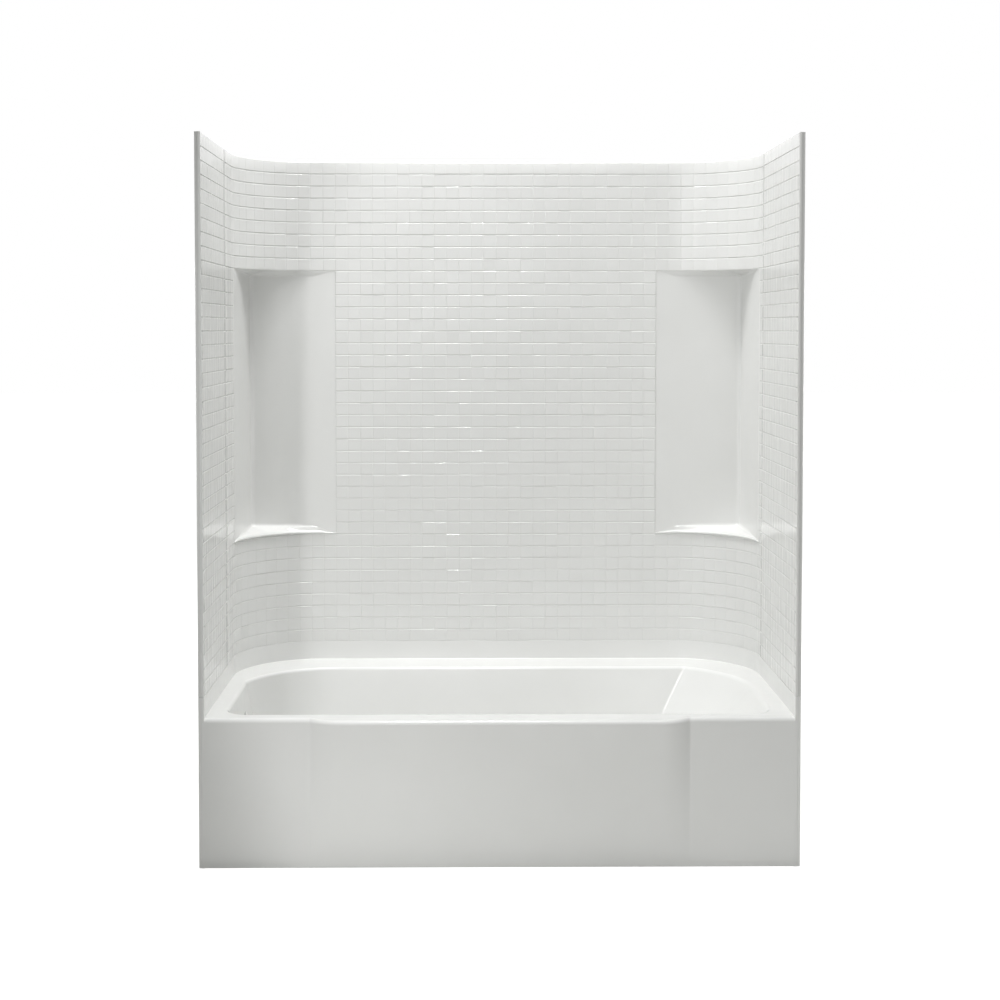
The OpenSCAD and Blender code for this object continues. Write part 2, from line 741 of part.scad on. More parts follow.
// Ribs lean with the apron, from the front rail to the underside of the roll
module apron_ribs() color(pine) placed()
    for (x = rib_x) let (z0 = skin + timber, z1 = deck_h - roll_r)
        translate([x - rib_t / 2, 0, 0]) rotate([90, 0, 90]) linear_extrude(rib_t)
            polygon([[apron_y(x, z0) + skin, z0], [apron_y(x, z0) + skin + rib_d, z0],
                     [apron_y(x, z1) + skin + rib_d, deck_h - skin],
                     [apron_y(x, z1) + roll_r, deck_h - skin], [apron_y(x, z1) + skin, z1]]);

// Everything under the basin's floor, tilted with it
module under_floor(gap) {
    translate([rim_left + left_batter, 0, basin_floor_h - skin - gap])
        rotate([0, -atan(floor_slope), 0]) children();
}

module basin_board() color(ply) placed() intersection() {
    under_floor(board_t) block([0, 2 * floor_l], [0, alcove_d], [0, board_t]);
    block([board_x, board_x + board_l], [board_y, board_y + board_w], [0, deck_h / 2]);
}

module basin_feet() color(rubber_black) placed() difference() {
    for (i = [0:2]) for (j = [0, 1])
        translate([board_x + 60 + i * (board_l - 120) / 2, board_y + 50 + j * (board_w - 100), 0]) {
            cylinder(d = foot_d + 16, h = 8, $fn = arc_fn);
            cylinder(d = foot_d, h = deck_h / 4, $fn = arc_fn);
        }
    under_floor(board_t) block([0, 2 * floor_l], [0, alcove_d], [0, deck_h]);
}

bath();
back_wall();
left_end_wall();
right_end_wall();
left_seam_gasket();
right_seam_gasket();
left_seam_rivets();
right_seam_rivets();
back_sill_gasket();
left_sill_gasket();
right_sill_gasket();
back_wall_battens();
left_wall_battens();
right_wall_battens();
front_base_rail();
front_rail_screws();
rear_base_rail();
rear_legs();
apron_ribs();
basin_board();
basin_feet();
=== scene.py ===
"""Looks of an alcove bath with a three-panel tiled wall surround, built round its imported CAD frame.

Lengths are millimetres in the construction frame: X to the right, Y from the flat ends of the apron
to the rear studs, Z up. place() turns them into metres in the frame of the part.
"""
import math
import random

import bmesh
import bpy
import numpy as np
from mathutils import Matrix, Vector


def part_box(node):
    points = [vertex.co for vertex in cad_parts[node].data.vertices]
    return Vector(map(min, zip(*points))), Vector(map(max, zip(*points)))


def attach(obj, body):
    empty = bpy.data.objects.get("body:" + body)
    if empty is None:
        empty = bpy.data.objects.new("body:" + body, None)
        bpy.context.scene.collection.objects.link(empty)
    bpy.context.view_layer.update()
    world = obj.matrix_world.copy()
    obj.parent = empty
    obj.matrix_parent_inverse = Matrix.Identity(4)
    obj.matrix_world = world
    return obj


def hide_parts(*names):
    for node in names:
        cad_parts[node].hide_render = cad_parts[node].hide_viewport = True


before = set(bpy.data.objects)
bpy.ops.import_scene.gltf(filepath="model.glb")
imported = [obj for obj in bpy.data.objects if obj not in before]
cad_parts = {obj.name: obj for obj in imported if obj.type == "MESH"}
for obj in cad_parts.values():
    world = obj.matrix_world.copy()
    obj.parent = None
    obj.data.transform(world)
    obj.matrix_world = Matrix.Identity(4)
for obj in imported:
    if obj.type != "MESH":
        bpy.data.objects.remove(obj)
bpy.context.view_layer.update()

MM = 0.001

# Alcove and levels, read from the frame
BATH_LOW, BATH_HIGH = (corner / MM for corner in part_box("bath"))
LEFT_LOW, LEFT_HIGH = (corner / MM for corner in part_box("left_end_wall"))
RIGHT_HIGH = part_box("right_end_wall")[1] / MM
Y_SHIFT = LEFT_LOW.y
STUD_X = BATH_HIGH.x
ALCOVE_D = BATH_HIGH.y - Y_SHIFT
UNIT_H = LEFT_HIGH.z
HALF_W = -LEFT_HIGH.x
WALL_Z = LEFT_LOW.z
SEAM_GAP = 2.0
LEFT_SEAM = LEFT_HIGH.y - Y_SHIFT + SEAM_GAP / 2
RIGHT_SEAM = RIGHT_HIGH.y - Y_SHIFT + SEAM_GAP / 2
BULGE = LEFT_LOW.y - BATH_LOW.y
SKIN = 4.0

# Finished room
BACK_Y = ALCOVE_D - 22.0
CORNER_R = 235.0
ARC_X = HALF_W - CORNER_R
ARC_Y = BACK_Y - CORNER_R
ARC_L = CORNER_R * math.pi / 2
STRIP_STEP = 1.5
STRIP_R = 2.2
EDGE_R = 2.5
FOOT_R = 0.8
FOOT_Z = WALL_Z - 1.2
FOOT_REACH = 10.0
NAIL_W = 34.0
NAIL_D = 5.0
NAIL_CUT = 24.0
NAIL_RISE = 12.5
NAIL_SIDE_Y = (120.0, 520.0)
NAIL_BACK_X = (-600.0, -200.0, 200.0, 600.0)
LEG_Z = BATH_HIGH.z + 3.0

# Bath
SEAT_H = WALL_Z - 2.0
DECK_H = 382.0
ROLL_R = 12.0
COVE_R = 2.0
RETURN_D = 46.0
BULGE_HALF = 480.0
BULGE_BLEND = 70.0

# Basin
RIM_LEFT = -HALF_W + 47.0
RIM_RIGHT = HALF_W - 47.0
RIM_FRONT = 48.0
RIM_BACK = BACK_Y - 123.0
FLOOR_H = 60.0
FLOOR_FALL = 6.0
BATTERS = {"left": 45.0, "right": 262.0, "front": 50.0, "back": 56.0}
BASIN_ROLL = 9.0
BASIN_FILLET = 48.0
CORNER_FRONT = 60.0
FRONT_EDGE = 60.0
SIDE_STRAIGHT = 330.0
SWEEP_LEFT = 258.0
SWEEP_RIGHT = (267.0, 300.0)
CORNER_FLOOR = 92.0
CREASE_RIGHT = math.radians(65.0)
CREASE_LEFT = math.radians(162.0)
DRAIN = (RIM_LEFT + BATTERS["left"] + 100.0, (RIM_FRONT + RIM_BACK) / 2)
DRAIN_R = 25.5
DRAIN_SEAT_R = 44.0
DRAIN_SEAT_H = 2.5
OVERFLOW_H = 278.0
OVERFLOW_R = 31.0
OVERFLOW_CUT = 30.0
DRILL_SIDES = 24

# Tiles and niches
TILE_H = 35.5
TILED_HALF = 474.5
COLUMNS_HALF = 13
TILE_W = TILED_HALF / COLUMNS_HALF
GROOVE_DEPTH = 1.3
UPRIGHT_SHARE = 0.6
TILE_TILT = math.radians(0.42)
TILE_STEP = 0.18
NICHE_LOW = SEAT_H + 9 * TILE_H
NICHE_TOP = NICHE_LOW + 22 * TILE_H
NICHE_Y = ALCOVE_D - 231.0
NICHE_BACK = BACK_Y + 2.0
NICHE_SIDE = ARC_X + math.sqrt(CORNER_R ** 2 - (NICHE_Y - ARC_Y) ** 2)
NICHE_REAR = NICHE_SIDE - 19.0
NICHE_CORNER = 12.0
CEILING_FALL = 14.0
SHELF_FALL = 15.0
LIP_R = 4.0
LIP_PROUD = 5.0
LIP_FOOT = 1.75
SHELF_FILLET = 10.0
CEILING_FILLET = 5.0
MOUTH_IN = 1.3
TUCK_IN = 1.9
EDGE_IN = 2.0
NICHE_S = ARC_X + CORNER_R * (math.pi / 2 - math.asin((NICHE_Y - ARC_Y) / CORNER_R))

# Camera, fitted to the photograph: place, turn to the right, tilt down, lens and shift
CAMERA_AT = (-72.15, -4032.75, 1362.64)
CAMERA_YAW = math.radians(0.588)
CAMERA_PITCH = math.radians(2.304)
CAMERA_LENS = 57.98
CAMERA_SHIFT = (0.012, -0.1054)

RNG = random.Random(7)


def place(points):
    """Points in millimetres in the construction frame, as metres in the frame of the part."""
    moved = np.array(points, float)
    moved[..., 1] += Y_SHIFT
    return moved * MM


def lerp(a, b, t):
    return a + (b - a) * t


def smooth(t):
    t = min(1.0, max(0.0, t))
    return t * t * (3 - 2 * t)


# Mesh building


class Shell:
    """A mesh under construction: points in the construction frame and faces with a material index."""

    def __init__(self):
        self.points = []
        self.faces = []
        self.slots = []

    def add(self, point):
        self.points.append(tuple(point))
        return len(self.points) - 1

    def face(self, corners, slot=0):
        self.faces.append(corners)
        self.slots.append(slot)

    def grid(self, rows, slot=0, closed=False, flip=False):
        """Quads through rows of points. With columns to the right and rows upwards they face the viewer."""
        index = [[self.add(p) for p in row] for row in rows]
        width = len(index[0])
        for low, high in zip(index, index[1:]):
            for i in range(width if closed else width - 1):
                j = (i + 1) % width
                corners = (low[i], low[j], high[j], high[i])
                self.face(corners[::-1] if flip else corners, slot)

    def sheet(self, front, back, keep_rows=None, keep_columns=None, present=lambda rows, columns: True):
        """Closed sheet with a fine front, a back on the kept rows and columns, and rims between them.

        All are kept if none is named. present(rows, columns) says whether the cell between two kept rows
        and two kept columns is there.
        """
        keep_rows = keep_rows or range(len(front))
        keep_columns = keep_columns or range(len(front[0]))

        def keeper(points):
            made = {}

            def at(r, c):
                if (r, c) not in made:
                    made[r, c] = self.add(points[r][c])
                return made[r, c]

            return at

        front_at, back_at = keeper(front), keeper(back)
        spans_r = list(zip(keep_rows, keep_rows[1:]))
        spans_c = list(zip(keep_columns, keep_columns[1:]))
        there = {(r, c) for r in spans_r for c in spans_c if present(r, c)}
        for rows, columns in there:
            for r in range(*rows):
                for c in range(*columns):
                    self.face((front_at(r, c), front_at(r, c + 1), front_at(r + 1, c + 1), front_at(r + 1, c)))
            (r0, r1), (c0, c1) = rows, columns
            self.face((back_at(r0, c0), back_at(r1, c0), back_at(r1, c1), back_at(r0, c1)), 1)
            i, j = spans_r.index(rows), spans_c.index(columns)
            beside = {
                "low": spans_r[i - 1] if i else None,
                "high": spans_r[i + 1] if i + 1 < len(spans_r) else None,
                "left": spans_c[j - 1] if j else None,
                "right": spans_c[j + 1] if j + 1 < len(spans_c) else None,
            }
            if (beside["low"], columns) not in there:
                edge = [front_at(r0, c) for c in range(c1, c0 - 1, -1)]
                self.face(edge + [back_at(r0, c0), back_at(r0, c1)])
            if (beside["high"], columns) not in there:
                edge = [front_at(r1, c) for c in range(c0, c1 + 1)]
                self.face(edge + [back_at(r1, c1), back_at(r1, c0)])
            if (rows, beside["left"]) not in there:
                edge = [front_at(r, c0) for r in range(r0, r1 + 1)]
                self.face(edge + [back_at(r1, c0), back_at(r0, c0)])
            if (rows, beside["right"]) not in there:
                edge = [front_at(r, c1) for r in range(r1, r0 - 1, -1)]
                self.face(edge + [back_at(r0, c1), back_at(r1, c1)])

    def build(self, name, materials, thickness=0.0, led=True):
        """The finished object. A sheet with a thickness is turned into a closed shell behind its face."""
        mesh = bpy.data.meshes.new(name)
        mesh.from_pydata(place(self.points).tolist(), [], self.faces)
        mesh.polygons.foreach_set("material_index", self.slots)
        for material in materials:
            mesh.materials.append(material)
        work = bmesh.new()
        work.from_mesh(mesh)
        bmesh.ops.remove_doubles(work, verts=work.verts, dist=0.02 * MM)
        bmesh.ops.dissolve_degenerate(work, edges=work.edges, dist=0.005 * MM)
        if not thickness:
            bmesh.ops.recalc_face_normals(work, faces=work.faces)
        work.to_mesh(mesh)
        work.free()
        made = bpy.data.objects.new(name, mesh)
        bpy.context.scene.collection.objects.link(made)
        if thickness:
            solid = made.modifiers.new("skin", "SOLIDIFY")
            solid.thickness = thickness * MM
            solid.offset = -1
            solid.use_even_offset = True
            solid.use_rim = True
            solid.material_offset = 1
            solid.material_offset_rim = 0
            apply_modifiers(made)
        shade(made, led)
        return made


def apply_modifiers(made):
    """Turns what the modifiers show into the object's own mesh."""
    shown = made.evaluated_get(bpy.context.evaluated_depsgraph_get())
    mesh = bpy.data.meshes.new_from_object(shown)
    made.modifiers.clear()
    made.data = mesh


def shade(made, led):
    """Smooth shading up to an angle between faces, led by the larger faces if asked for."""
    for polygon in made.data.polygons:
        polygon.use_smooth = True
    made.data.set_sharp_from_angle(angle=math.radians(50.0 if led else 75.0))
    if not led:
        return
    weighted = made.modifiers.new("weighted", "WEIGHTED_NORMAL")
    weighted.keep_sharp = True
    apply_modifiers(made)


# Plan of the room


def plan_point(s, grow=0.0):
    """Point of the finished room's plan at arc length s from the middle of the back wall."""
    side = -1 if s < 0 else 1
    d = abs(s)
    if d <= ARC_X:
        x, y, nx, ny = d, BACK_Y, 0.0, 1.0
    elif d <= ARC_X + ARC_L:
        a = math.pi / 2 - (d - ARC_X) / CORNER_R
        nx, ny = math.cos(a), math.sin(a)
        x, y = ARC_X + CORNER_R * nx, ARC_Y + CORNER_R * ny
    else:
        x, y, nx, ny = HALF_W, ARC_Y - (d - ARC_X - ARC_L), 1.0, 0.0
    return side * (x + grow * nx), y + grow * ny


def stud_point(s, inset=0.0):
    """Where the line outwards from the plan at s meets the studs' face."""
    x0, y0 = plan_point(abs(s))
    x1, y1 = plan_point(abs(s), 1.0)
    nx, ny = x1 - x0, y1 - y0
    runs = []
    if nx > 1e-9:
        runs.append((STUD_X - inset - x0) / nx)
    if ny > 1e-9:
        runs.append((ALCOVE_D - inset - y0) / ny)
    side = -1 if s < 0 else 1
    return side * (x0 + min(runs) * nx), y0 + min(runs) * ny


def corner_s(inset=0.0):
    """Arc length whose outward line meets the corner of the studs' face."""
    turn = math.atan2(ALCOVE_D - inset - ARC_Y, STUD_X - inset - ARC_X)
    return ARC_X + CORNER_R * (math.pi / 2 - turn)


def front_s(y):
    """Arc length at a place on the straight end wall."""
    return ARC_X + ARC_L + ARC_Y - y


# Tiles: lines of the mesh across one tile, and how deep the face lies at each

LEVEL_LINES = ((0.0, 1.0), (0.7, 0.97), (1.25, 0.3), (1.8, 0.0), (2.9, 0.0))
UPRIGHT_LINES = ((0.0, 1.0), (1.4, 0.0), (2.6, 0.0))


def tile_lines(profile, first, last, pitch, origin, middle):
    """(place, depth, joint) of the mesh lines between two limits.

    middle(place) says whether a tile gets a line through its middle.
    """
    lines = []
    k = math.floor((first - origin) / pitch)
    while origin + k * pitch < last:
        joint = origin + k * pitch
        lines += [(joint + off, share, off == 0.0) for off, share in profile]
        if middle(joint + pitch / 2):
            lines.append((joint + pitch / 2, 0.0, False))
        lines += [(joint + pitch - off, share, False) for off, share in profile[:0:-1]]
        k += 1
    lines.append((origin + k * pitch, 1.0, True))
    return lines


def clipped(lines, first, last, margin=1.6):
    """The lines well inside two limits."""
    return [line for line in lines if first + margin < line[0] < last - margin]


def tile_relief(rows, columns, z_origin, s_origin):
    """Depth of the face at each row and column, with a small tilt of its own to each tile."""
    tilts = {}
    relief = np.zeros((len(rows), len(columns)))
    for i, (z, row_share, _) in enumerate(rows):
        for j, (s, column_share, _) in enumerate(columns):
            share = max(row_share, column_share)
            depth = GROOVE_DEPTH * max(row_share, UPRIGHT_SHARE * column_share)
            if share < 1.0:
                v, u = (z - z_origin) / TILE_H, (s - s_origin) / TILE_W
                tile = (math.floor(v), math.floor(u))
                if tile not in tilts:
                    tilts[tile] = (RNG.gauss(0, TILE_TILT), RNG.gauss(0, TILE_TILT), RNG.gauss(0, TILE_STEP))
                lean, turn, step = tilts[tile]
                depth += (step + lean * (v % 1 - 0.5) * TILE_H + turn * (u % 1 - 0.5) * TILE_W) * (1 - share)
            relief[i, j] = depth
    return relief


# Wall panels


def wall_rows():
    """Rows of a wall panel from foot to top: height, depth share, outward share, reach and back height."""
    lines = tile_lines(LEVEL_LINES, SEAT_H, UNIT_H - 1, TILE_H, SEAT_H, lambda z: False)
    tiles = clipped(lines, WALL_Z + 2.5, UNIT_H - 3.5)

    def row(z, share, keep):
        return dict(z=z, share=share, reach=None, keep=keep)

    def end_row(z, out, reach, back_z):
        return dict(z=z, share=1.0, out=out, reach=reach, back_z=back_z, keep=True)

    foot = [end_row(FOOT_Z, out, "foot", FOOT_Z + SKIN) for out in (1.0, 0.0)]
    foot += [row(FOOT_Z + 0.3, 0.15, False), row(FOOT_Z + 1.0, 0.0, False)]
    top = [row(UNIT_H - EDGE_R, 0.0, False), row(UNIT_H - EDGE_R * 0.293, 0.35, False)]
    top += [end_row(UNIT_H, out, "stud", UNIT_H - SKIN) for out in (0.0, 1.0)]
    return foot + [row(*line) for line in tiles] + top


def strip_profile():
    """(face, back) points in plan of the right-hand front strip and its leg, from the room outwards."""
    mid = HALF_W + (STUD_X - HALF_W) / 2
    r = STRIP_R
    return [
        ((HALF_W, r + 0.1), (HALF_W + SKIN, SKIN)),
        ((HALF_W + 0.293 * r, 0.293 * r), (HALF_W + SKIN, SKIN)),
        ((HALF_W + r, 0.0), (HALF_W + SKIN, SKIN)),
        ((mid - 0.5, 0.0), (mid - 0.5, SKIN)),
        ((mid, 0.4), (mid, SKIN)),
        ((mid + 0.4, STRIP_STEP), (mid + 0.4, SKIN)),
        ((STUD_X - 1.2, STRIP_STEP), (STUD_X - SKIN, SKIN)),
        ((STUD_X - 0.35, STRIP_STEP + 0.35), (STUD_X - SKIN, SKIN)),
        ((STUD_X, STRIP_STEP + 1.2), (STUD_X - SKIN, SKIN)),
        ((STUD_X, SKIN), (STUD_X - SKIN, SKIN + 0.2)),
        ((STUD_X, NAIL_W), (STUD_X - SKIN, NAIL_W)),
    ]


def seam_profile(y, ahead):
    """(face, back) points of the right-hand joint flange at a seam.

    ahead is 1 where the panel lies behind the seam, and -1 where it lies in front.
    """
    t = ahead * SKIN
    profile = [
        ((HALF_W, y + 1.4 * ahead), (HALF_W + SKIN, y + t)),
        ((HALF_W + 0.4, y + 0.4 * ahead), (HALF_W + SKIN, y + t)),
        ((HALF_W + 1.4, y), (HALF_W + SKIN, y + t)),
        ((HALF_W + FOOT_REACH, y), (HALF_W + FOOT_REACH, y + t)),
    ]
    if ahead > 0:
        inner = STUD_X - SKIN
        profile += [((inner, y), (STUD_X, y + t)), ((inner, y - NAIL_W), (STUD_X, y - NAIL_W))]
    return profile


def panel(columns, hole):
    """A wall panel. A column is a place s on the plan, or a fixed pair of plan points with no relief."""
    rows = wall_rows()
    keep_rows = [i for i, row in enumerate(rows) if row["keep"]]
    keep_columns = [j for j, column in enumerate(columns) if column["keep"]]
    room = [j for j, column in enumerate(columns) if "s" in column]
    relief = np.zeros((len(rows), len(columns)))
    relief[:, room] = tile_relief(
        [(row["z"], row["share"], row["keep"]) for row in rows],
        [(columns[j]["s"], columns[j]["share"], columns[j]["keep"]) for j in room],
        SEAT_H, 0.0,
    )
    front, back = [], []
    for i, row in enumerate(rows):
        face_line, back_line = [], []
        for j, column in enumerate(columns):
            z = row["z"]
            if "s" in column:
                face = plan_point(column["s"], relief[i, j])
                rear = plan_point(column["s"], SKIN)
                if row["reach"] == "stud":
                    far, round_off = stud_point(column["s"]), EDGE_R
                elif row["reach"]:
                    far, round_off = plan_point(column["s"], FOOT_REACH), FOOT_R
                if row["reach"]:
                    face = [lerp(a, b, row["out"]) for a, b in zip(plan_point(column["s"], round_off), far)]
                    rear = [lerp(a, b, row["out"]) for a, b in zip(rear, far)]
            else:
                face, rear = column["face"], column["back"]
            face_line.append((face[0], face[1], z))
            back_line.append((rear[0], rear[1], row.get("back_z", z) if "s" in column else z))
        front.append(face_line)
        back.append(back_line)

    def present(row_span, column_span):
        low, high = (rows[r] for r in row_span)
        left, right = (columns[c] for c in column_span)
        z = (low["z"] + high["z"]) / 2
        if "s" not in left or "s" not in right:
            if row_span[0] == keep_rows[0] or row_span[0] == keep_rows[-2]:
                return False
            leg = left.get("leg") or right.get("leg")
            return not leg or LEG_Z < z < UNIT_H - TILE_H / 2
        beside = TILED_HALF < abs(left["s"] + right["s"]) / 2 < NICHE_S
        return not (hole and beside and NICHE_LOW < z < NICHE_TOP)

    shell = Shell()
    shell.sheet(front, back, keep_rows, keep_columns, present)
    return shell


def room_columns(first, last):
    """Columns on the plan between two arc lengths, with a line at each joint and at each niche's front edge."""
    curved = lambda s: ARC_X < abs(s) < ARC_X + ARC_L
    lines = clipped(tile_lines(UPRIGHT_LINES, first, last, TILE_W, 0.0, curved), first, last)
    for edge in (-NICHE_S, NICHE_S):
        if first < edge < last:
            lines = [line for line in lines if abs(line[0] - edge) > 1.0] + [(edge, 0.0, True)]
    for edge in (-corner_s(), corner_s()):
        if first < edge < last and min(abs(line[0] - edge) for line in lines if line[2]) > 1.5:
            lines.append((edge, 0.0, True))
    lines = sorted([(first, 0.0, True), (last, 0.0, True)] + lines)
    return [dict(s=s, share=share, keep=joint) for s, share, joint in lines]


def fixed_columns(profile, side, legs=0):
    """Columns of a strip or flange at one side. The last ones, as many as legs, run along the stud face."""
    made = []
    for i, (face, rear) in enumerate(profile):
        column = dict(face=(side * face[0], face[1]), back=(side * rear[0], rear[1]), keep=True, share=0.0)
        made.append(dict(column, leg=i >= len(profile) - legs))
    return made


def end_wall(side, materials):
    """An end panel: front strip, tiled face and joint flange."""
    seam = LEFT_SEAM if side < 0 else RIGHT_SEAM
    edge = seam - SEAM_GAP / 2
    flange = fixed_columns(seam_profile(edge, -1), side)
    strip = fixed_columns(strip_profile(), side, legs=1)
    near, far = front_s(SKIN), front_s(edge - 1.4)
    if side < 0:
        columns = strip[::-1] + room_columns(-near, -far) + flange[1:]
    else:
        columns = flange[:0:-1] + room_columns(far, near) + strip
    name = "left_end_panel" if side < 0 else "right_end_panel"
    return panel(columns, False).build(name, materials, led=False)


def niche_curves(side, count):
    """Sections round a niche in plan: place on the mouth, inner wall's point, its outward way, and share."""
    back_end = NICHE_REAR - NICHE_CORNER
    lean = math.atan2(NICHE_SIDE - NICHE_REAR, NICHE_BACK - NICHE_CORNER - NICHE_Y)
    sweep = math.pi / 2 - lean
    side_l = math.hypot(NICHE_SIDE - NICHE_REAR, NICHE_BACK - NICHE_CORNER - NICHE_Y)
    lengths = (back_end - TILED_HALF, NICHE_CORNER * sweep, side_l)
    total = sum(lengths)
    stops = {0.0, lengths[0] / total, (lengths[0] + lengths[1]) / total, 1.0}
    shares = sorted(stops | {i / count for i in range(1, count)}
                    | {(lengths[0] + lengths[1] * i / 6) / total for i in range(1, 6)})
    rows = []
    for f in shares:
        d = f * total
        mouth_s = lerp(TILED_HALF, NICHE_S, f)
        if d <= lengths[0]:
            inner, out = (TILED_HALF + d, NICHE_BACK), (0.0, 1.0)
        elif d <= lengths[0] + lengths[1]:
            a = math.pi / 2 - (d - lengths[0]) / NICHE_CORNER
            out = (math.cos(a), math.sin(a))
            inner = (back_end + NICHE_CORNER * out[0], NICHE_BACK - NICHE_CORNER + NICHE_CORNER * out[1])
        else:
            t = (d - lengths[0] - lengths[1]) / side_l
            start = (back_end + NICHE_CORNER * math.cos(lean), NICHE_BACK - NICHE_CORNER * (1 - math.sin(lean)))
            inner = (lerp(start[0], NICHE_SIDE, t), lerp(start[1], NICHE_Y, t))
            out = (math.cos(lean), math.sin(lean))
        rows.append((side * mouth_s, (side * inner[0], inner[1]), (side * out[0], out[1]), f))
    return rows


def niche_section(mouth_s, inner, out, f):
    """(face, back) points of one section of a niche: lip, shelf, inner wall and ceiling."""
    depth = (inner[1] - NICHE_Y) / (NICHE_BACK - NICHE_Y)
    near_tiles = smooth(f / 0.16)
    near_front = smooth((1 - f) / 0.06)
    lip = LIP_R * lerp(0.3, 1.0, near_tiles) * lerp(0.5, 1.0, near_front)
    proud = LIP_PROUD * lip / LIP_R
    shelf_front = NICHE_LOW + LIP_FOOT + 2 * lip - 1.0
    shelf_back = shelf_front + SHELF_FALL * depth * near_tiles
    ceiling_back = NICHE_TOP - CEILING_FALL * depth * near_tiles
    points = []

    def put(grow, z, down, outwards=0.0):
        x, y = plan_point(mouth_s, grow)
        bx, by = plan_point(mouth_s, grow + outwards * SKIN)
        points.append(((x, y, z), (bx, by, z + down * SKIN)))

    def across(t, z, up, outwards=0.0):
        x0, y0 = plan_point(mouth_s, MOUTH_IN)
        x, y = lerp(x0, inner[0], t), lerp(y0, inner[1], t)
        points.append(((x, y, z), (x + out[0] * outwards * SKIN, y + out[1] * outwards * SKIN, z + up * SKIN)))

    put(TUCK_IN, NICHE_LOW - 2.0, -0.1, 1.0)
    put(MOUTH_IN, NICHE_LOW + 0.2, -0.1, 1.0)
    centre = lip - proud
    for i in range(9):
        a = math.radians(-100 + 200 * i / 8)
        put(centre - lip * math.cos(a), NICHE_LOW + LIP_FOOT + lip + lip * math.sin(a), -0.4, 1.2)
    mouth = plan_point(mouth_s, MOUTH_IN)
    reach = math.hypot(inner[0] - mouth[0], inner[1] - mouth[1])
    fillet = min(SHELF_FILLET, 0.4 * reach)
    for t in (0.12, 0.35, 0.65):
        across(t * (1 - fillet / max(reach, 1e-6)), lerp(shelf_front, shelf_back, t), -1)
    for i in range(6):
        a = math.radians(90 * i / 5)
        t = 1 - fillet * (1 - math.sin(a)) / max(reach, 1e-6)
        across(t, shelf_back + fillet * (1 - math.cos(a)), -math.cos(a), math.sin(a))
    span = (shelf_back + fillet, ceiling_back - CEILING_FILLET)
    for i in range(1, 12):
        across(1.0, lerp(*span, i / 12), 0, 1)
    small = min(CEILING_FILLET, 0.4 * reach)
    for i in range(5):
        a = math.radians(90 * i / 4)
        t = 1 - small * (1 - math.cos(a)) / max(reach, 1e-6)
        across(t, ceiling_back - CEILING_FILLET * (1 - math.sin(a)), math.sin(a), math.cos(a))
    across(0.5, lerp(NICHE_TOP, ceiling_back, 0.5), 1)
    across(0.0, NICHE_TOP, 1)
    put(TUCK_IN, NICHE_TOP + 2.0, 0.6, 1.0)
    return points


def add_niche(shell, side):
    """Closed shell of one niche, its edges tucked behind the tiled face."""
    curve = niche_curves(side, 40)
    sections = [niche_section(*at) for at in curve]
    front = [[point[0] for point in section] for section in sections]
    back = [[point[1] for point in section] for section in sections]
    for at, s in ((0, TILED_HALF - 2.5), (-1, NICHE_S + 3.0)):
        tucked, tucked_back = [], []
        for point in front[at]:
            x, y = plan_point(side * s, EDGE_IN)
            bx, by = plan_point(side * s, SKIN + 1)
            tucked.append((x, y, point[2]))
            tucked_back.append((bx, by, point[2]))
        front.insert(0 if at == 0 else len(front), tucked)
        back.insert(0 if at == 0 else len(back), tucked_back)
    if side > 0:
        front, back = front[::-1], back[::-1]
    shell.sheet(front, back)


def back_wall(materials):
    """The back panel with both rear corners, niches and joint flanges."""
    left_edge, right_edge = LEFT_SEAM + SEAM_GAP / 2, RIGHT_SEAM + SEAM_GAP / 2
    columns = (
        fixed_columns(seam_profile(left_edge, 1), -1, legs=1)[:0:-1]
        + room_columns(-front_s(left_edge + 1.4), front_s(right_edge + 1.4))
        + fixed_columns(seam_profile(right_edge, 1), 1, legs=1)[1:]
    )
    shell = panel(columns, True)
    for side in (-1, 1):
        add_niche(shell, side)
    return shell.build("back_panel", materials, led=False)


# Bath


def bulge(x):
    u = (abs(x) - (BULGE_HALF - BULGE_BLEND)) / BULGE_BLEND
    return BULGE * (1.0 if u <= 0 else 0.0 if u >= 1 else 1 - u * u)


def apron_y(x, z):
    return -bulge(x) * z / (DECK_H - ROLL_R)


def basin_edges(share, grow):
    """Edges and corner radii of the basin at a share of the way from floor to rim."""
    down = 1 - share
    return dict(
        left=RIM_LEFT + BATTERS["left"] * down - grow,
        right=RIM_RIGHT - BATTERS["right"] * down + grow,
        front=RIM_FRONT + BATTERS["front"] * down - grow,
        back=RIM_BACK - BATTERS["back"] * down + grow,
        rf=lerp(CORNER_FLOOR, CORNER_FRONT, share) + grow,
        lr=lerp(CORNER_FLOOR, SWEEP_LEFT, share) + grow,
        rx=lerp(CORNER_FLOOR, SWEEP_RIGHT[0], share) + grow,
        ry=lerp(CORNER_FLOOR, SWEEP_RIGHT[1], share) + grow,
    )


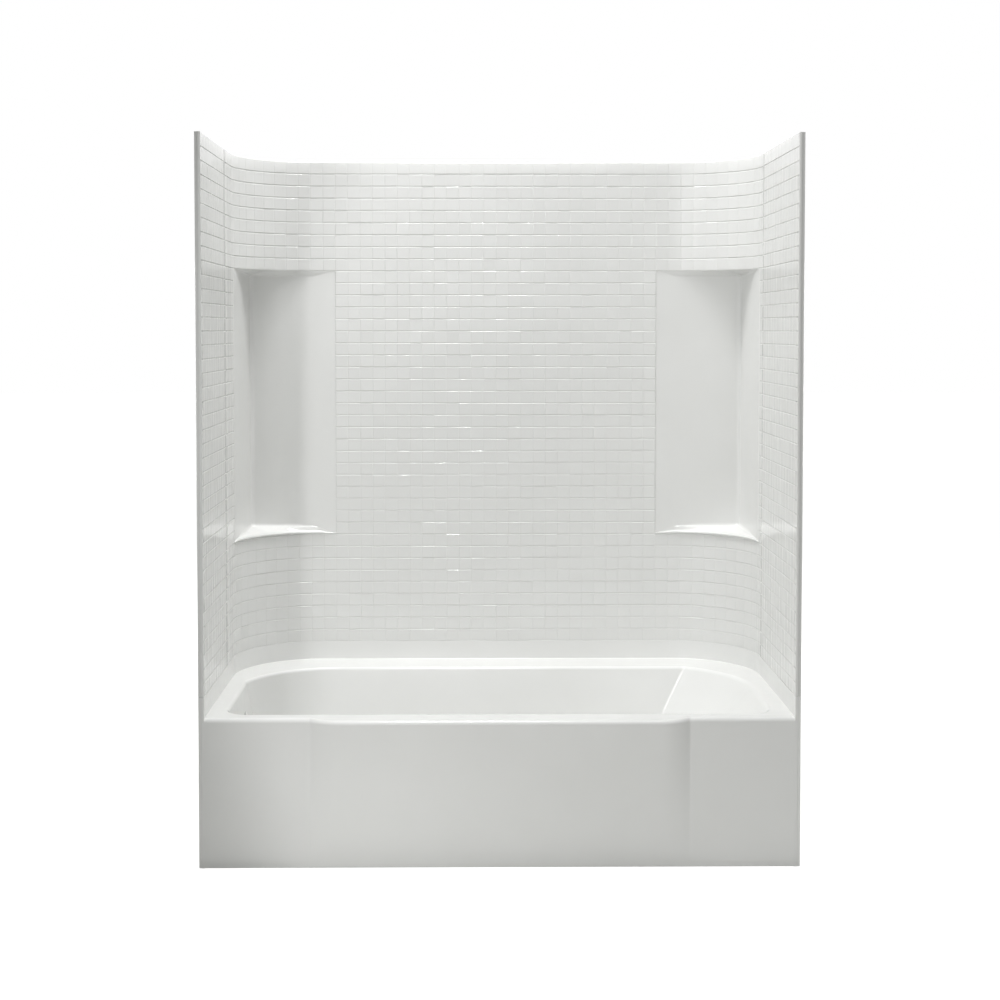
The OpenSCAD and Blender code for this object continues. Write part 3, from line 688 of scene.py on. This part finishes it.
def basin_point(column, share, grow):
    """Point of the basin's outline that a column follows."""
    kind, t = column["on"]
    e = basin_edges(share, grow)
    if kind == "front_left":
        a = math.radians(180 + 90 * t)
        return e["left"] + e["rf"] * (1 + math.cos(a)), e["front"] + e["rf"] * (1 + math.sin(a))
    if kind == "front":
        return lerp(e["left"] + e["rf"], e["right"] - e["rf"], t), e["front"]
    if kind == "front_right":
        a = math.radians(270 + 90 * t)
        return e["right"] - e["rf"] * (1 - math.cos(a)), e["front"] + e["rf"] * (1 + math.sin(a))
    sweep_y = e["back"] - e["ry"] * math.sin(CREASE_RIGHT)
    if kind == "right":
        return e["right"], lerp(e["front"] + e["rf"], sweep_y, t)
    if kind == "right_sweep":
        a = CREASE_RIGHT * t
        return e["right"] - e["rx"] * (1 - math.cos(a)), sweep_y + e["ry"] * math.sin(a)
    crease_x = e["right"] - e["rx"] * (1 - math.cos(CREASE_RIGHT))
    sweep_x = e["left"] - e["lr"] * math.cos(CREASE_LEFT)
    if kind == "back":
        return lerp(crease_x, sweep_x, t), e["back"]
    if kind == "left_sweep":
        a = lerp(math.pi / 2, CREASE_LEFT, t)
        return sweep_x + e["lr"] * math.cos(a), e["back"] - e["lr"] * (1 - math.sin(a))
    crease_y = e["back"] - e["lr"] * (1 - math.sin(CREASE_LEFT))
    return e["left"], lerp(crease_y, e["front"] + e["rf"], t)


def apron_stations():
    """Stations of the apron between its corner stretches, close together where its centre blends out."""
    flat = BULGE_HALF - BULGE_BLEND
    half = [*np.linspace(0, flat, 12), *np.linspace(flat, BULGE_HALF, 15)[1:]]
    half += [BULGE_HALF + 3.0, BULGE_HALF + 8.0]
    half += [*np.linspace(BULGE_HALF + 20, HALF_W - FRONT_EDGE, 8)]
    return sorted({round(x, 4) for x in half} | {round(-x, 4) for x in half})


def bath_columns():
    """Columns round the bath from the front left corner of the deck, counter-clockwise seen from above.

    Each follows the basin's outline and ends on the deck's outer edge, at x on the front or at s on a wall.
    """
    columns = []

    def add(kind, t, **edge):
        columns.append(dict(on=(kind, t), **edge))

    for i in range(9):
        add("front_left", 0.5 + 0.5 * i / 8, x=-HALF_W + FRONT_EDGE * i / 8)
    limit = HALF_W - FRONT_EDGE
    for x in apron_stations()[1:-1]:
        add("front", (x + limit) / (2 * limit), x=x)
    for i in range(9):
        add("front_right", 0.5 * i / 8, x=limit + FRONT_EDGE * i / 8)
    for i in range(9):
        add("front_right", 0.5 + 0.5 * i / 8, s=front_s(ROLL_R + FRONT_EDGE * i / 8))
    for i in range(1, 5):
        add("right", i / 4, s=front_s(lerp(ROLL_R + FRONT_EDGE, SIDE_STRAIGHT, i / 4)))
    close = [0.97, 0.982, 1.0]
    for t in [i / 28 for i in range(1, 28)] + close:
        add("right_sweep", t, s=lerp(front_s(SIDE_STRAIGHT), ARC_X, t))
    for t in [0.006, 0.012, 0.025] + [i / 16 for i in range(1, 17)]:
        add("back", t, s=lerp(ARC_X, -ARC_X, t))
    for t in [i / 28 for i in range(1, 28)] + close:
        add("left_sweep", t, s=-lerp(ARC_X, ARC_X + ARC_L, t))
    for t in [0.008, 0.02] + [i / 10 for i in range(1, 11)]:
        add("left", t, s=-front_s(lerp(ARC_Y, ROLL_R + FRONT_EDGE, t)))
    for i in range(1, 9):
        add("front_left", 0.5 * i / 8, s=-front_s(lerp(ROLL_R + FRONT_EDGE, ROLL_R, i / 8)))
    return columns


def deck_edge(column):
    """Where a column meets the deck's outer edge, and how wide the cove is there."""
    if "x" in column:
        return (column["x"], ROLL_R), 0.0
    run = plan_point(column["s"])[1] - ROLL_R
    cove = COVE_R * smooth(run / 40.0)
    return plan_point(column["s"], -cove), cove


def basin_rows(columns):
    """Rows of the deck and basin, from the deck's outer edge to the drain."""
    rise = DECK_H - FLOOR_H
    z1, z2 = FLOOR_H + BASIN_FILLET, DECK_H - BASIN_ROLL
    share = lambda z: (z - FLOOR_H) / rise
    bend = lambda u, a, b, c: a * (1 - u) ** 2 + 2 * b * u * (1 - u) + c * u * u
    slope = FLOOR_FALL / ((RIM_RIGHT - BATTERS["right"]) - (RIM_LEFT + BATTERS["left"]))

    def ring(s, grow, z):
        line = []
        for column in columns:
            x, y = basin_point(column, s, grow)
            line.append((x, y, z + slope * (1 - s) ** 2 * (x - RIM_LEFT - BATTERS["left"])))
        return line

    rim = ring(1.0, BASIN_ROLL, DECK_H)
    edge = [(*deck_edge(column)[0], DECK_H) for column in columns]
    rows = [[tuple(lerp(a, b, t) for a, b in zip(p, q)) for p, q in zip(edge, rim)] for t in (0, 0.1, 0.5, 0.9)]
    steps = 8
    for i in range(steps + 1):
        u = i / steps
        rows.append(ring(bend(u, 1, 1, share(z2)), bend(u, BASIN_ROLL, 0, 0), bend(u, DECK_H, DECK_H, z2)))
    for i in range(1, 10):
        z = lerp(z2, z1, i / 10)
        rows.append(ring(share(z), 0.0, z))
    for i in range(11):
        u = i / 10
        rows.append(ring(bend(u, share(z1), 0, 0), bend(u, 0, 0, -BASIN_FILLET), bend(u, z1, FLOOR_H, FLOOR_H)))
    last = rows[-1]
    drain_z = FLOOR_H + slope * (DRAIN[0] - RIM_LEFT - BATTERS["left"])
    angles = [math.atan2(p[1] - DRAIN[1], p[0] - DRAIN[0]) for p in last]

    def circle(r, z, tilt=1.0):
        return [(DRAIN[0] + r * math.cos(a), DRAIN[1] + r * math.sin(a), z + tilt * slope * r * math.cos(a))
                for a in angles]

    outer = circle(DRAIN_SEAT_R + 4, drain_z)
    for t in (0.02, 0.2, 0.4, 0.6, 0.8, 0.93, 1.0):
        rows.append([tuple(lerp(a, b, t) for a, b in zip(p, q)) for p, q in zip(last, outer)])
    seat = drain_z - DRAIN_SEAT_H
    rows.append(circle(DRAIN_SEAT_R + 1.2, drain_z - 0.25))
    rows.append(circle(DRAIN_SEAT_R, drain_z - 1.0, 0.8))
    rows.append(circle(DRAIN_SEAT_R - 1.0, seat, 0.0))
    rows.append(circle(DRAIN_R + 2.0, seat - 0.3, 0.0))
    rows.append(circle(DRAIN_R + 0.6, seat - 0.9, 0.0))
    rows.append(circle(DRAIN_R, seat - 2.0, 0.0))
    rows.append(circle(DRAIN_R, FLOOR_H - 7.0, 0.0))
    return rows


def upstand_rows(columns):
    """Rows from the top of the nailing flange over the seat and down the upstand to the deck's outer edge."""
    snap = corner_s(SKIN)
    nearest = {side: min(columns, key=lambda c: abs(c["s"] - side * snap)) for side in (-1, 1)}
    lines = []
    for column in columns:
        s = column["s"]
        for side, corner in nearest.items():
            if column is corner:
                far = (side * (STUD_X - SKIN), ALCOVE_D - SKIN)
                break
        else:
            far = stud_point(s, SKIN)
        near = plan_point(s, FOOT_R)
        cove = deck_edge(column)[1]
        line = [(*far, BATH_HIGH.z), (*far, SEAT_H + 2.0)]
        line += [(lerp(near[0], far[0], t), lerp(near[1], far[1], t), SEAT_H) for t in (0.9, 0.4, 0.0)]
        line.append((*plan_point(s, FOOT_R * 0.293), SEAT_H - FOOT_R * 0.293))
        top, low = SEAT_H - FOOT_R, DECK_H + cove
        line += [(*plan_point(s), lerp(top, low, t)) for t in (0.0, 0.06, 0.5, 0.94)]
        for i in range(7):
            a = math.pi / 2 * i / 6
            line.append((*plan_point(s, -cove * (1 - math.cos(a))), low - cove * math.sin(a)))
        lines.append(line)
    return [[line[i] for line in lines] for i in range(len(lines[0]))]


def apron_rows(stations):
    """Rows from the back of the bottom return, up the apron and over the rolled edge."""
    top = DECK_H - ROLL_R
    lines = []
    for x in stations:
        line = [(x, RETURN_D, 0.0), (x, 12.0, 0.0), (x, 2.5, 0.0), (x, 0.7, 0.7)]
        line += [(x, apron_y(x, z), z) for z in (2.5, 10.0, *np.linspace(0, top, 12)[1:-1], top - 5, top)]
        centre = apron_y(x, top) + ROLL_R
        for i in range(1, 9):
            a = math.pi / 2 * i / 8
            line.append((x, centre - ROLL_R * math.cos(a), top + ROLL_R * math.sin(a)))
        line += [(x, lerp(centre, ROLL_R, t), DECK_H) for t in (0.12, 0.88, 1.0)]
        lines.append(line)
    return [[line[i] for line in lines] for i in range(len(lines[0]))]


def bath(materials):
    """The bath: apron, deck, basin, upstand, seat, nailing flange and side strips, in one skin."""
    shell = Shell()
    columns = bath_columns()
    shell.grid(basin_rows(columns), closed=True)
    walls = [column for column in columns if "s" in column]
    walls.append(dict(on=("front_left", 0.5), s=-front_s(ROLL_R)))
    shell.grid(upstand_rows(walls))
    shell.grid(apron_rows([column["x"] for column in columns if "x" in column]))
    made = shell.build("bath_shell", materials, thickness=SKIN)
    lean = math.atan2(BATTERS["left"], DECK_H - FLOOR_H)
    wall_x = RIM_LEFT + BATTERS["left"] * (DECK_H - OVERFLOW_H) / (DECK_H - FLOOR_H)
    out = (math.cos(lean), 0, math.sin(lean))
    holes = [((wall_x, DRAIN[1], OVERFLOW_H), out, 2 * OVERFLOW_R, OVERFLOW_CUT)]
    nails = [((side * STUD_X, y), (1, 0, 0)) for side in (-1, 1) for y in NAIL_SIDE_Y]
    nails += [((x, ALCOVE_D), (0, 1, 0)) for x in NAIL_BACK_X]
    holes += [((*at, SEAT_H + NAIL_RISE), way, NAIL_D, NAIL_CUT) for at, way in nails]
    drill(made, holes)
    return join([made, *side_strips(materials)], "bath_shell")


def side_strips(materials):
    """Front strips of the bath with their returns, from the floor to the wall seat."""
    made = []
    for side in (-1, 1):
        shell = Shell()
        front, back = [], []
        levels = [0.0, 2.0, DECK_H - ROLL_R, DECK_H, DECK_H + 10, SEAT_H - 2, SEAT_H]
        profile = strip_profile()
        for z in levels:
            squared = 1 - smooth((z - (DECK_H - ROLL_R)) / (ROLL_R + 10))
            line, rear = [(side * HALF_W, ROLL_R, z)], [(side * (HALF_W + SKIN), ROLL_R, z)]
            for i, (face, inner) in enumerate(profile):
                face = list(face)
                if i < 3:
                    face = [lerp(face[0], HALF_W + 0.1 * i, squared), lerp(face[1], 0.1 * (2 - i), squared)]
                if i == len(profile) - 1:
                    face, inner = (STUD_X, RETURN_D), (STUD_X - SKIN, RETURN_D)
                line.append((side * face[0], face[1], z))
                rear.append((side * inner[0], inner[1], z))
            front.append(line)
            back.append(rear)
        shell.sheet(front, back)
        made.append(shell.build(f"bath_strip_{side}", materials))
    return made


def drill(made, holes):
    """Cuts round holes through an object. Each is a centre, a direction, a diameter and a length."""
    cutter = Shell()
    for centre, way, diameter, length in holes:
        way = Vector(way).normalized()
        side = way.orthogonal().normalized()
        up = way.cross(side)
        angles = np.linspace(0, 2 * math.pi, DRILL_SIDES + 1)[:-1]
        spokes = [(side * math.cos(a) + up * math.sin(a)) * diameter / 2 for a in angles]
        start = len(cutter.points)
        ends = [Vector(centre) + way * length * share for share in (-0.5, 0.5)]
        cutter.grid([[end + spoke for spoke in spokes] for end in ends], closed=True)
        for first in (start, start + DRILL_SIDES):
            cutter.face(list(range(first, first + DRILL_SIDES)))
    tool = cutter.build("drill", [], led=False)
    cut = made.modifiers.new("holes", "BOOLEAN")
    cut.object = tool
    cut.operation = "DIFFERENCE"
    cut.solver = "EXACT"
    apply_modifiers(made)
    bpy.data.objects.remove(tool)


def join(objects, name):
    """One object from several, with the first one's materials."""
    work = bmesh.new()
    for item in objects:
        work.from_mesh(item.data)
    mesh = bpy.data.meshes.new(name)
    work.to_mesh(mesh)
    work.free()
    for material in objects[0].data.materials:
        mesh.materials.append(material)
    for item in objects:
        bpy.data.objects.remove(item)
    made = bpy.data.objects.new(name, mesh)
    bpy.context.scene.collection.objects.link(made)
    return made


# Materials


def node_material(name, roughness, metallic=0.0):
    """A new material: its node tree, its shader and its object coordinates."""
    material = bpy.data.materials.new(name)
    material.use_nodes = True
    tree = material.node_tree
    shader = tree.nodes["Principled BSDF"]
    shader.inputs["Roughness"].default_value = roughness
    shader.inputs["Metallic"].default_value = metallic
    coordinates = tree.nodes.new("ShaderNodeTexCoord").outputs["Object"]
    return material, tree, shader, coordinates


def noise(tree, vector, scale, detail=3.0, stretch=None):
    """Noise at a scale in cycles per metre."""
    if stretch:
        mapping = tree.nodes.new("ShaderNodeMapping")
        mapping.inputs["Scale"].default_value = stretch
        tree.links.new(vector, mapping.inputs["Vector"])
        vector = mapping.outputs["Vector"]
    node = tree.nodes.new("ShaderNodeTexNoise")
    node.inputs["Scale"].default_value = scale
    node.inputs["Detail"].default_value = detail
    tree.links.new(vector, node.inputs["Vector"])
    return node.outputs["Fac"]


def ramp(tree, factor, stops):
    """Colours along a factor."""
    node = tree.nodes.new("ShaderNodeValToRGB")
    elements = node.color_ramp.elements
    while len(elements) < len(stops):
        elements.new(0.5)
    for element, (at, colour) in zip(elements, stops):
        element.position = at
        element.color = (*colour, 1.0)
    tree.links.new(factor, node.inputs["Fac"])
    return node.outputs["Color"]


def remap(tree, value, low, high):
    """A factor from 0.3 to 0.7 turned into a range of values."""
    node = tree.nodes.new("ShaderNodeMapRange")
    node.inputs["From Min"].default_value = 0.3
    node.inputs["From Max"].default_value = 0.7
    node.inputs["To Min"].default_value = low
    node.inputs["To Max"].default_value = high
    tree.links.new(value, node.inputs["Value"])
    return node.outputs["Result"]


def bump(tree, shader, height, strength, distance):
    node = tree.nodes.new("ShaderNodeBump")
    node.inputs["Strength"].default_value = strength
    node.inputs["Distance"].default_value = distance
    tree.links.new(height, node.inputs["Height"])
    tree.links.new(node.outputs["Normal"], shader.inputs["Normal"])


def gelcoat():
    """Gloss white moulded surface: faint waviness, a little variation in shade and gloss."""
    material, tree, shader, at = node_material("gelcoat_white", 0.14)
    shade_noise = noise(tree, at, 6.0, 2.0)
    colour = ramp(tree, shade_noise, [(0.3, (0.800, 0.803, 0.790)), (0.7, (0.815, 0.818, 0.806))])
    tree.links.new(colour, shader.inputs["Base Color"])
    tree.links.new(remap(tree, noise(tree, at, 40.0, 4.0), 0.11, 0.17), shader.inputs["Roughness"])
    bump(tree, shader, noise(tree, at, 22.0, 1.0), 0.08, 0.002)
    return material


def raw_backing():
    """Unfinished rear side: resin over chopped glass strands."""
    material, tree, shader, at = node_material("raw_backing", 0.55)
    strands = noise(tree, at, 55.0, 5.0, stretch=(1.0, 1.0, 3.0))
    crossed = noise(tree, at, 55.0, 5.0, stretch=(3.0, 3.0, 1.0))
    mix = tree.nodes.new("ShaderNodeMath")
    mix.operation = "MAXIMUM"
    tree.links.new(strands, mix.inputs[0])
    tree.links.new(crossed, mix.inputs[1])
    colour = ramp(tree, mix.outputs["Value"], [(0.45, (0.62, 0.60, 0.50)), (0.62, (0.76, 0.745, 0.66)),
                                               (0.75, (0.82, 0.81, 0.75))])
    tree.links.new(colour, shader.inputs["Base Color"])
    tree.links.new(remap(tree, strands, 0.45, 0.7), shader.inputs["Roughness"])
    bump(tree, shader, mix.outputs["Value"], 0.5, 0.0015)
    return material


def timber(name, along):
    """Sawn softwood with its grain along an axis."""
    material, tree, shader, at = node_material(name, 0.75)
    stretch = [18.0, 18.0, 18.0]
    stretch[along] = 1.0
    grain = noise(tree, at, 6.0, 6.0, stretch=stretch)
    stops = [(0.3, (0.42, 0.27, 0.13)), (0.5, (0.62, 0.45, 0.25)), (0.7, (0.73, 0.56, 0.35))]
    colour = ramp(tree, grain, stops)
    tree.links.new(colour, shader.inputs["Base Color"])
    tree.links.new(remap(tree, grain, 0.65, 0.85), shader.inputs["Roughness"])
    bump(tree, shader, noise(tree, at, 20.0, 4.0, stretch=stretch), 0.4, 0.001)
    return material


def strand_board():
    """Pressed board of flat wood strands."""
    material, tree, shader, at = node_material("strand_board", 0.8)
    cells = tree.nodes.new("ShaderNodeTexVoronoi")
    cells.inputs["Scale"].default_value = 60.0
    mapping = tree.nodes.new("ShaderNodeMapping")
    mapping.inputs["Scale"].default_value = (0.45, 1.4, 1.0)
    tree.links.new(at, mapping.inputs["Vector"])
    tree.links.new(mapping.outputs["Vector"], cells.inputs["Vector"])
    colour = ramp(tree, cells.outputs["Color"], [(0.2, (0.45, 0.31, 0.16)), (0.8, (0.70, 0.55, 0.34))])
    tree.links.new(colour, shader.inputs["Base Color"])
    bump(tree, shader, cells.outputs["Distance"], 0.4, 0.001)
    return material


def speckled(name, dark, light, roughness, grain, depth, metallic=0.0):
    """A plain moulded or plated material with fine variation."""
    material, tree, shader, at = node_material(name, roughness, metallic)
    fine = noise(tree, at, grain, 4.0)
    tree.links.new(ramp(tree, fine, [(0.3, dark), (0.7, light)]), shader.inputs["Base Color"])
    tree.links.new(remap(tree, fine, roughness * 0.85, roughness * 1.15), shader.inputs["Roughness"])
    bump(tree, shader, noise(tree, at, grain * 2, 3.0), 0.3, depth)
    return material


def dress_frame():
    """Materials of the CAD nodes that stay in view."""
    upright = timber("pine_upright", 2)
    lengthwise = timber("pine_lengthwise", 0)
    gasket = speckled("gasket_white", (0.70, 0.71, 0.70), (0.78, 0.79, 0.78), 0.7, 300.0, 0.0004)
    nylon = speckled("nylon_white", (0.76, 0.76, 0.72), (0.82, 0.82, 0.78), 0.4, 200.0, 0.0002)
    zinc = speckled("zinc_plate", (0.52, 0.53, 0.55), (0.66, 0.67, 0.69), 0.3, 400.0, 0.0001, metallic=1.0)
    rubber = speckled("rubber_black", (0.012, 0.012, 0.012), (0.03, 0.03, 0.03), 0.8, 150.0, 0.0005)
    finishes = {
        "left_seam_gasket": gasket, "right_seam_gasket": gasket, "back_sill_gasket": gasket,
        "left_sill_gasket": gasket, "right_sill_gasket": gasket,
        "left_seam_rivets": nylon, "right_seam_rivets": nylon,
        "back_wall_battens": upright, "left_wall_battens": upright, "right_wall_battens": upright,
        "rear_legs": upright, "apron_ribs": upright,
        "front_base_rail": lengthwise, "rear_base_rail": lengthwise,
        "front_rail_screws": zinc, "basin_board": strand_board(), "basin_feet": rubber,
    }
    for node, material in finishes.items():
        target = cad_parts[node]
        target.data.materials.clear()
        target.data.materials.append(material)


# Stage, lamps and camera

STAGE_HALF = 30.0
FRONT_LAMP = (-1408, -2892, 1940)
SPOT_FALL = -0.22
SPOT_EDGE = 1.5


def seen_directly(tree):
    """One for rays from the camera, off a glossy face or through glass, else nought."""
    path = tree.nodes.new("ShaderNodeLightPath")
    total = path.outputs["Is Camera Ray"]
    for name in ("Is Glossy Ray", "Is Transmission Ray"):
        node = tree.nodes.new("ShaderNodeMath")
        node.operation = "MAXIMUM"
        tree.links.new(total, node.inputs[0])
        tree.links.new(path.outputs[name], node.inputs[1])
        total = node.outputs["Value"]
    return total


def show_by_ray(tree, lit, seen, output):
    """Shows one shader to the rays above and another to the rest."""
    pick = tree.nodes.new("ShaderNodeMixShader")
    tree.links.new(seen_directly(tree), pick.inputs["Fac"])
    tree.links.new(lit.outputs[0], pick.inputs[1])
    tree.links.new(seen.outputs[0], pick.inputs[2])
    tree.links.new(pick.outputs[0], output.inputs["Surface"])


def stage_material():
    """Pale floor that camera and gloss see as white, with the shadow of the object on it."""
    material = bpy.data.materials.new("stage_white")
    material.use_nodes = True
    tree = material.node_tree
    tree.nodes.clear()
    output = tree.nodes.new("ShaderNodeOutputMaterial")
    matt = tree.nodes.new("ShaderNodeBsdfDiffuse")
    matt.inputs["Color"].default_value = (0.72, 0.72, 0.7, 1.0)
    glow = tree.nodes.new("ShaderNodeEmission")
    glow.inputs["Strength"].default_value = 0.85
    both = tree.nodes.new("ShaderNodeAddShader")
    tree.links.new(matt.outputs[0], both.inputs[0])
    tree.links.new(glow.outputs[0], both.inputs[1])
    show_by_ray(tree, matt, both, output)
    return material


def build_stage():
    corners = [(x * STAGE_HALF, y * STAGE_HALF, 0) for x, y in ((-1, -1), (1, -1), (1, 1), (-1, 1))]
    mesh = bpy.data.meshes.new("stage_floor")
    mesh.from_pydata(corners, [], [(0, 1, 2, 3)])
    mesh.materials.append(stage_material())
    floor = bpy.data.objects.new("stage_floor", mesh)
    floor.location.z = -0.0005
    bpy.context.scene.collection.objects.link(floor)


def build_world():
    """Soft light from all round, white where camera and gloss see it."""
    world = bpy.data.worlds.new("studio")
    bpy.context.scene.world = world
    world.use_nodes = True
    tree = world.node_tree
    tree.nodes.clear()
    output = tree.nodes.new("ShaderNodeOutputWorld")
    seen = tree.nodes.new("ShaderNodeBackground")
    seen.inputs["Color"].default_value = (1, 1, 1, 1)
    lit = tree.nodes.new("ShaderNodeBackground")
    lit.inputs["Strength"].default_value = 0.235
    lit.inputs["Color"].default_value = (0.97, 0.985, 0.96, 1)
    show_by_ray(tree, lit, seen, output)


def hang(data, at, direction):
    """Puts a lamp at a place, in millimetres in the construction frame, and turns it along a direction."""
    made = bpy.data.objects.new(data.name, data)
    made.location = place([at])[0]
    made.rotation_euler = Vector(direction).to_track_quat("-Z", "Y").to_euler()
    bpy.context.scene.collection.objects.link(made)
    return made


def soft_lamp(name, at, towards, size, watts, spread=180):
    """A rectangular lamp that faces a place."""
    data = bpy.data.lights.new(name, "AREA")
    data.shape = "RECTANGLE"
    data.size, data.size_y = size
    data.energy = watts
    data.spread = math.radians(spread)
    hang(data, at, Vector(towards) - Vector(at))


def spot_data(name, cone, blend, radius, watts):
    data = bpy.data.lights.new(name, "SPOT")
    data.energy = watts
    data.spot_size = math.radians(cone)
    data.spot_blend = blend
    data.shadow_soft_size = radius
    return data


def pool_spot(name, at, towards, cone, radius, watts):
    """A spot lamp that fades from its middle to its rim."""
    data = spot_data(name, cone, 1.0, radius, watts)
    hang(data, at, Vector(towards) - Vector(at))


def edge_spot(name, at, edge, cone, blend, radius, watts, mirrored):
    """A spot lamp whose left cone edge passes through a place, so that it lights all to the right of it.

    Only a mirrored one shows in the gloss of what it lights.
    """
    data = spot_data(name, cone, blend, radius, watts)
    way = Vector(edge) - Vector(at)
    turn = math.atan2(way.y, way.x) - math.radians(cone / 2 - SPOT_EDGE)
    hang(data, at, (math.cos(turn), math.sin(turn), SPOT_FALL)).visible_glossy = mirrored


def build_lamps():
    soft_lamp("overhead", (-120, 470, 3650), (-120, 470, 0), (0.65, 0.45), 24, spread=120)
    soft_lamp("overhead_wide", (0, -500, 3900), (0, 0, 0), (2.0, 1.4), 22)
    for side in (-1, 1):
        soft_lamp(f"rear_soft_{side}", (side * 3600, 3900, 1150), (side * 500, 700, 900), (2.2, 1.2), 70)
    soft_lamp("front_soft", (-600, -4400, 2100), (0, 300, 900), (1.6, 1.6), 10)
    pool_spot("apron_pool", (-1300, -3100, 500), (-330, 0, 190), 12, 0.3, 50)
    pool_spot("crease_glint", FRONT_LAMP, (475, 620, 310), 7, 0.12, 60)
    for name, watts, mirrored in (("front_left", 100, False), ("front_left_glint", 16, True)):
        edge_spot(name, FRONT_LAMP, (-700, 0, 900), 80, 0.1, 0.12, watts, mirrored)


def build_camera():
    data = bpy.data.cameras.new("camera")
    data.lens = CAMERA_LENS
    data.sensor_width = 36.0
    data.shift_x, data.shift_y = CAMERA_SHIFT
    camera = bpy.data.objects.new("camera", data)
    camera.location = place([CAMERA_AT])[0]
    camera.rotation_euler = (math.pi / 2 - CAMERA_PITCH, 0.0, -CAMERA_YAW)
    bpy.context.scene.collection.objects.link(camera)
    bpy.context.scene.camera = camera


def main():
    bpy.context.scene.view_settings.view_transform = "Standard"
    build_camera()
    build_world()
    build_lamps()
    build_stage()
    skins = [gelcoat(), raw_backing()]
    pieces = [
        (bath(skins), "bath", "bath"),
        (back_wall(skins), "wall", "back_wall"),
        (end_wall(-1, skins), "wall", "left_end_wall"),
        (end_wall(1, skins), "wall", "right_end_wall"),
    ]
    for piece, slot, node in pieces:
        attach(piece, "root")
        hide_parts(node)
    dress_frame()


main()
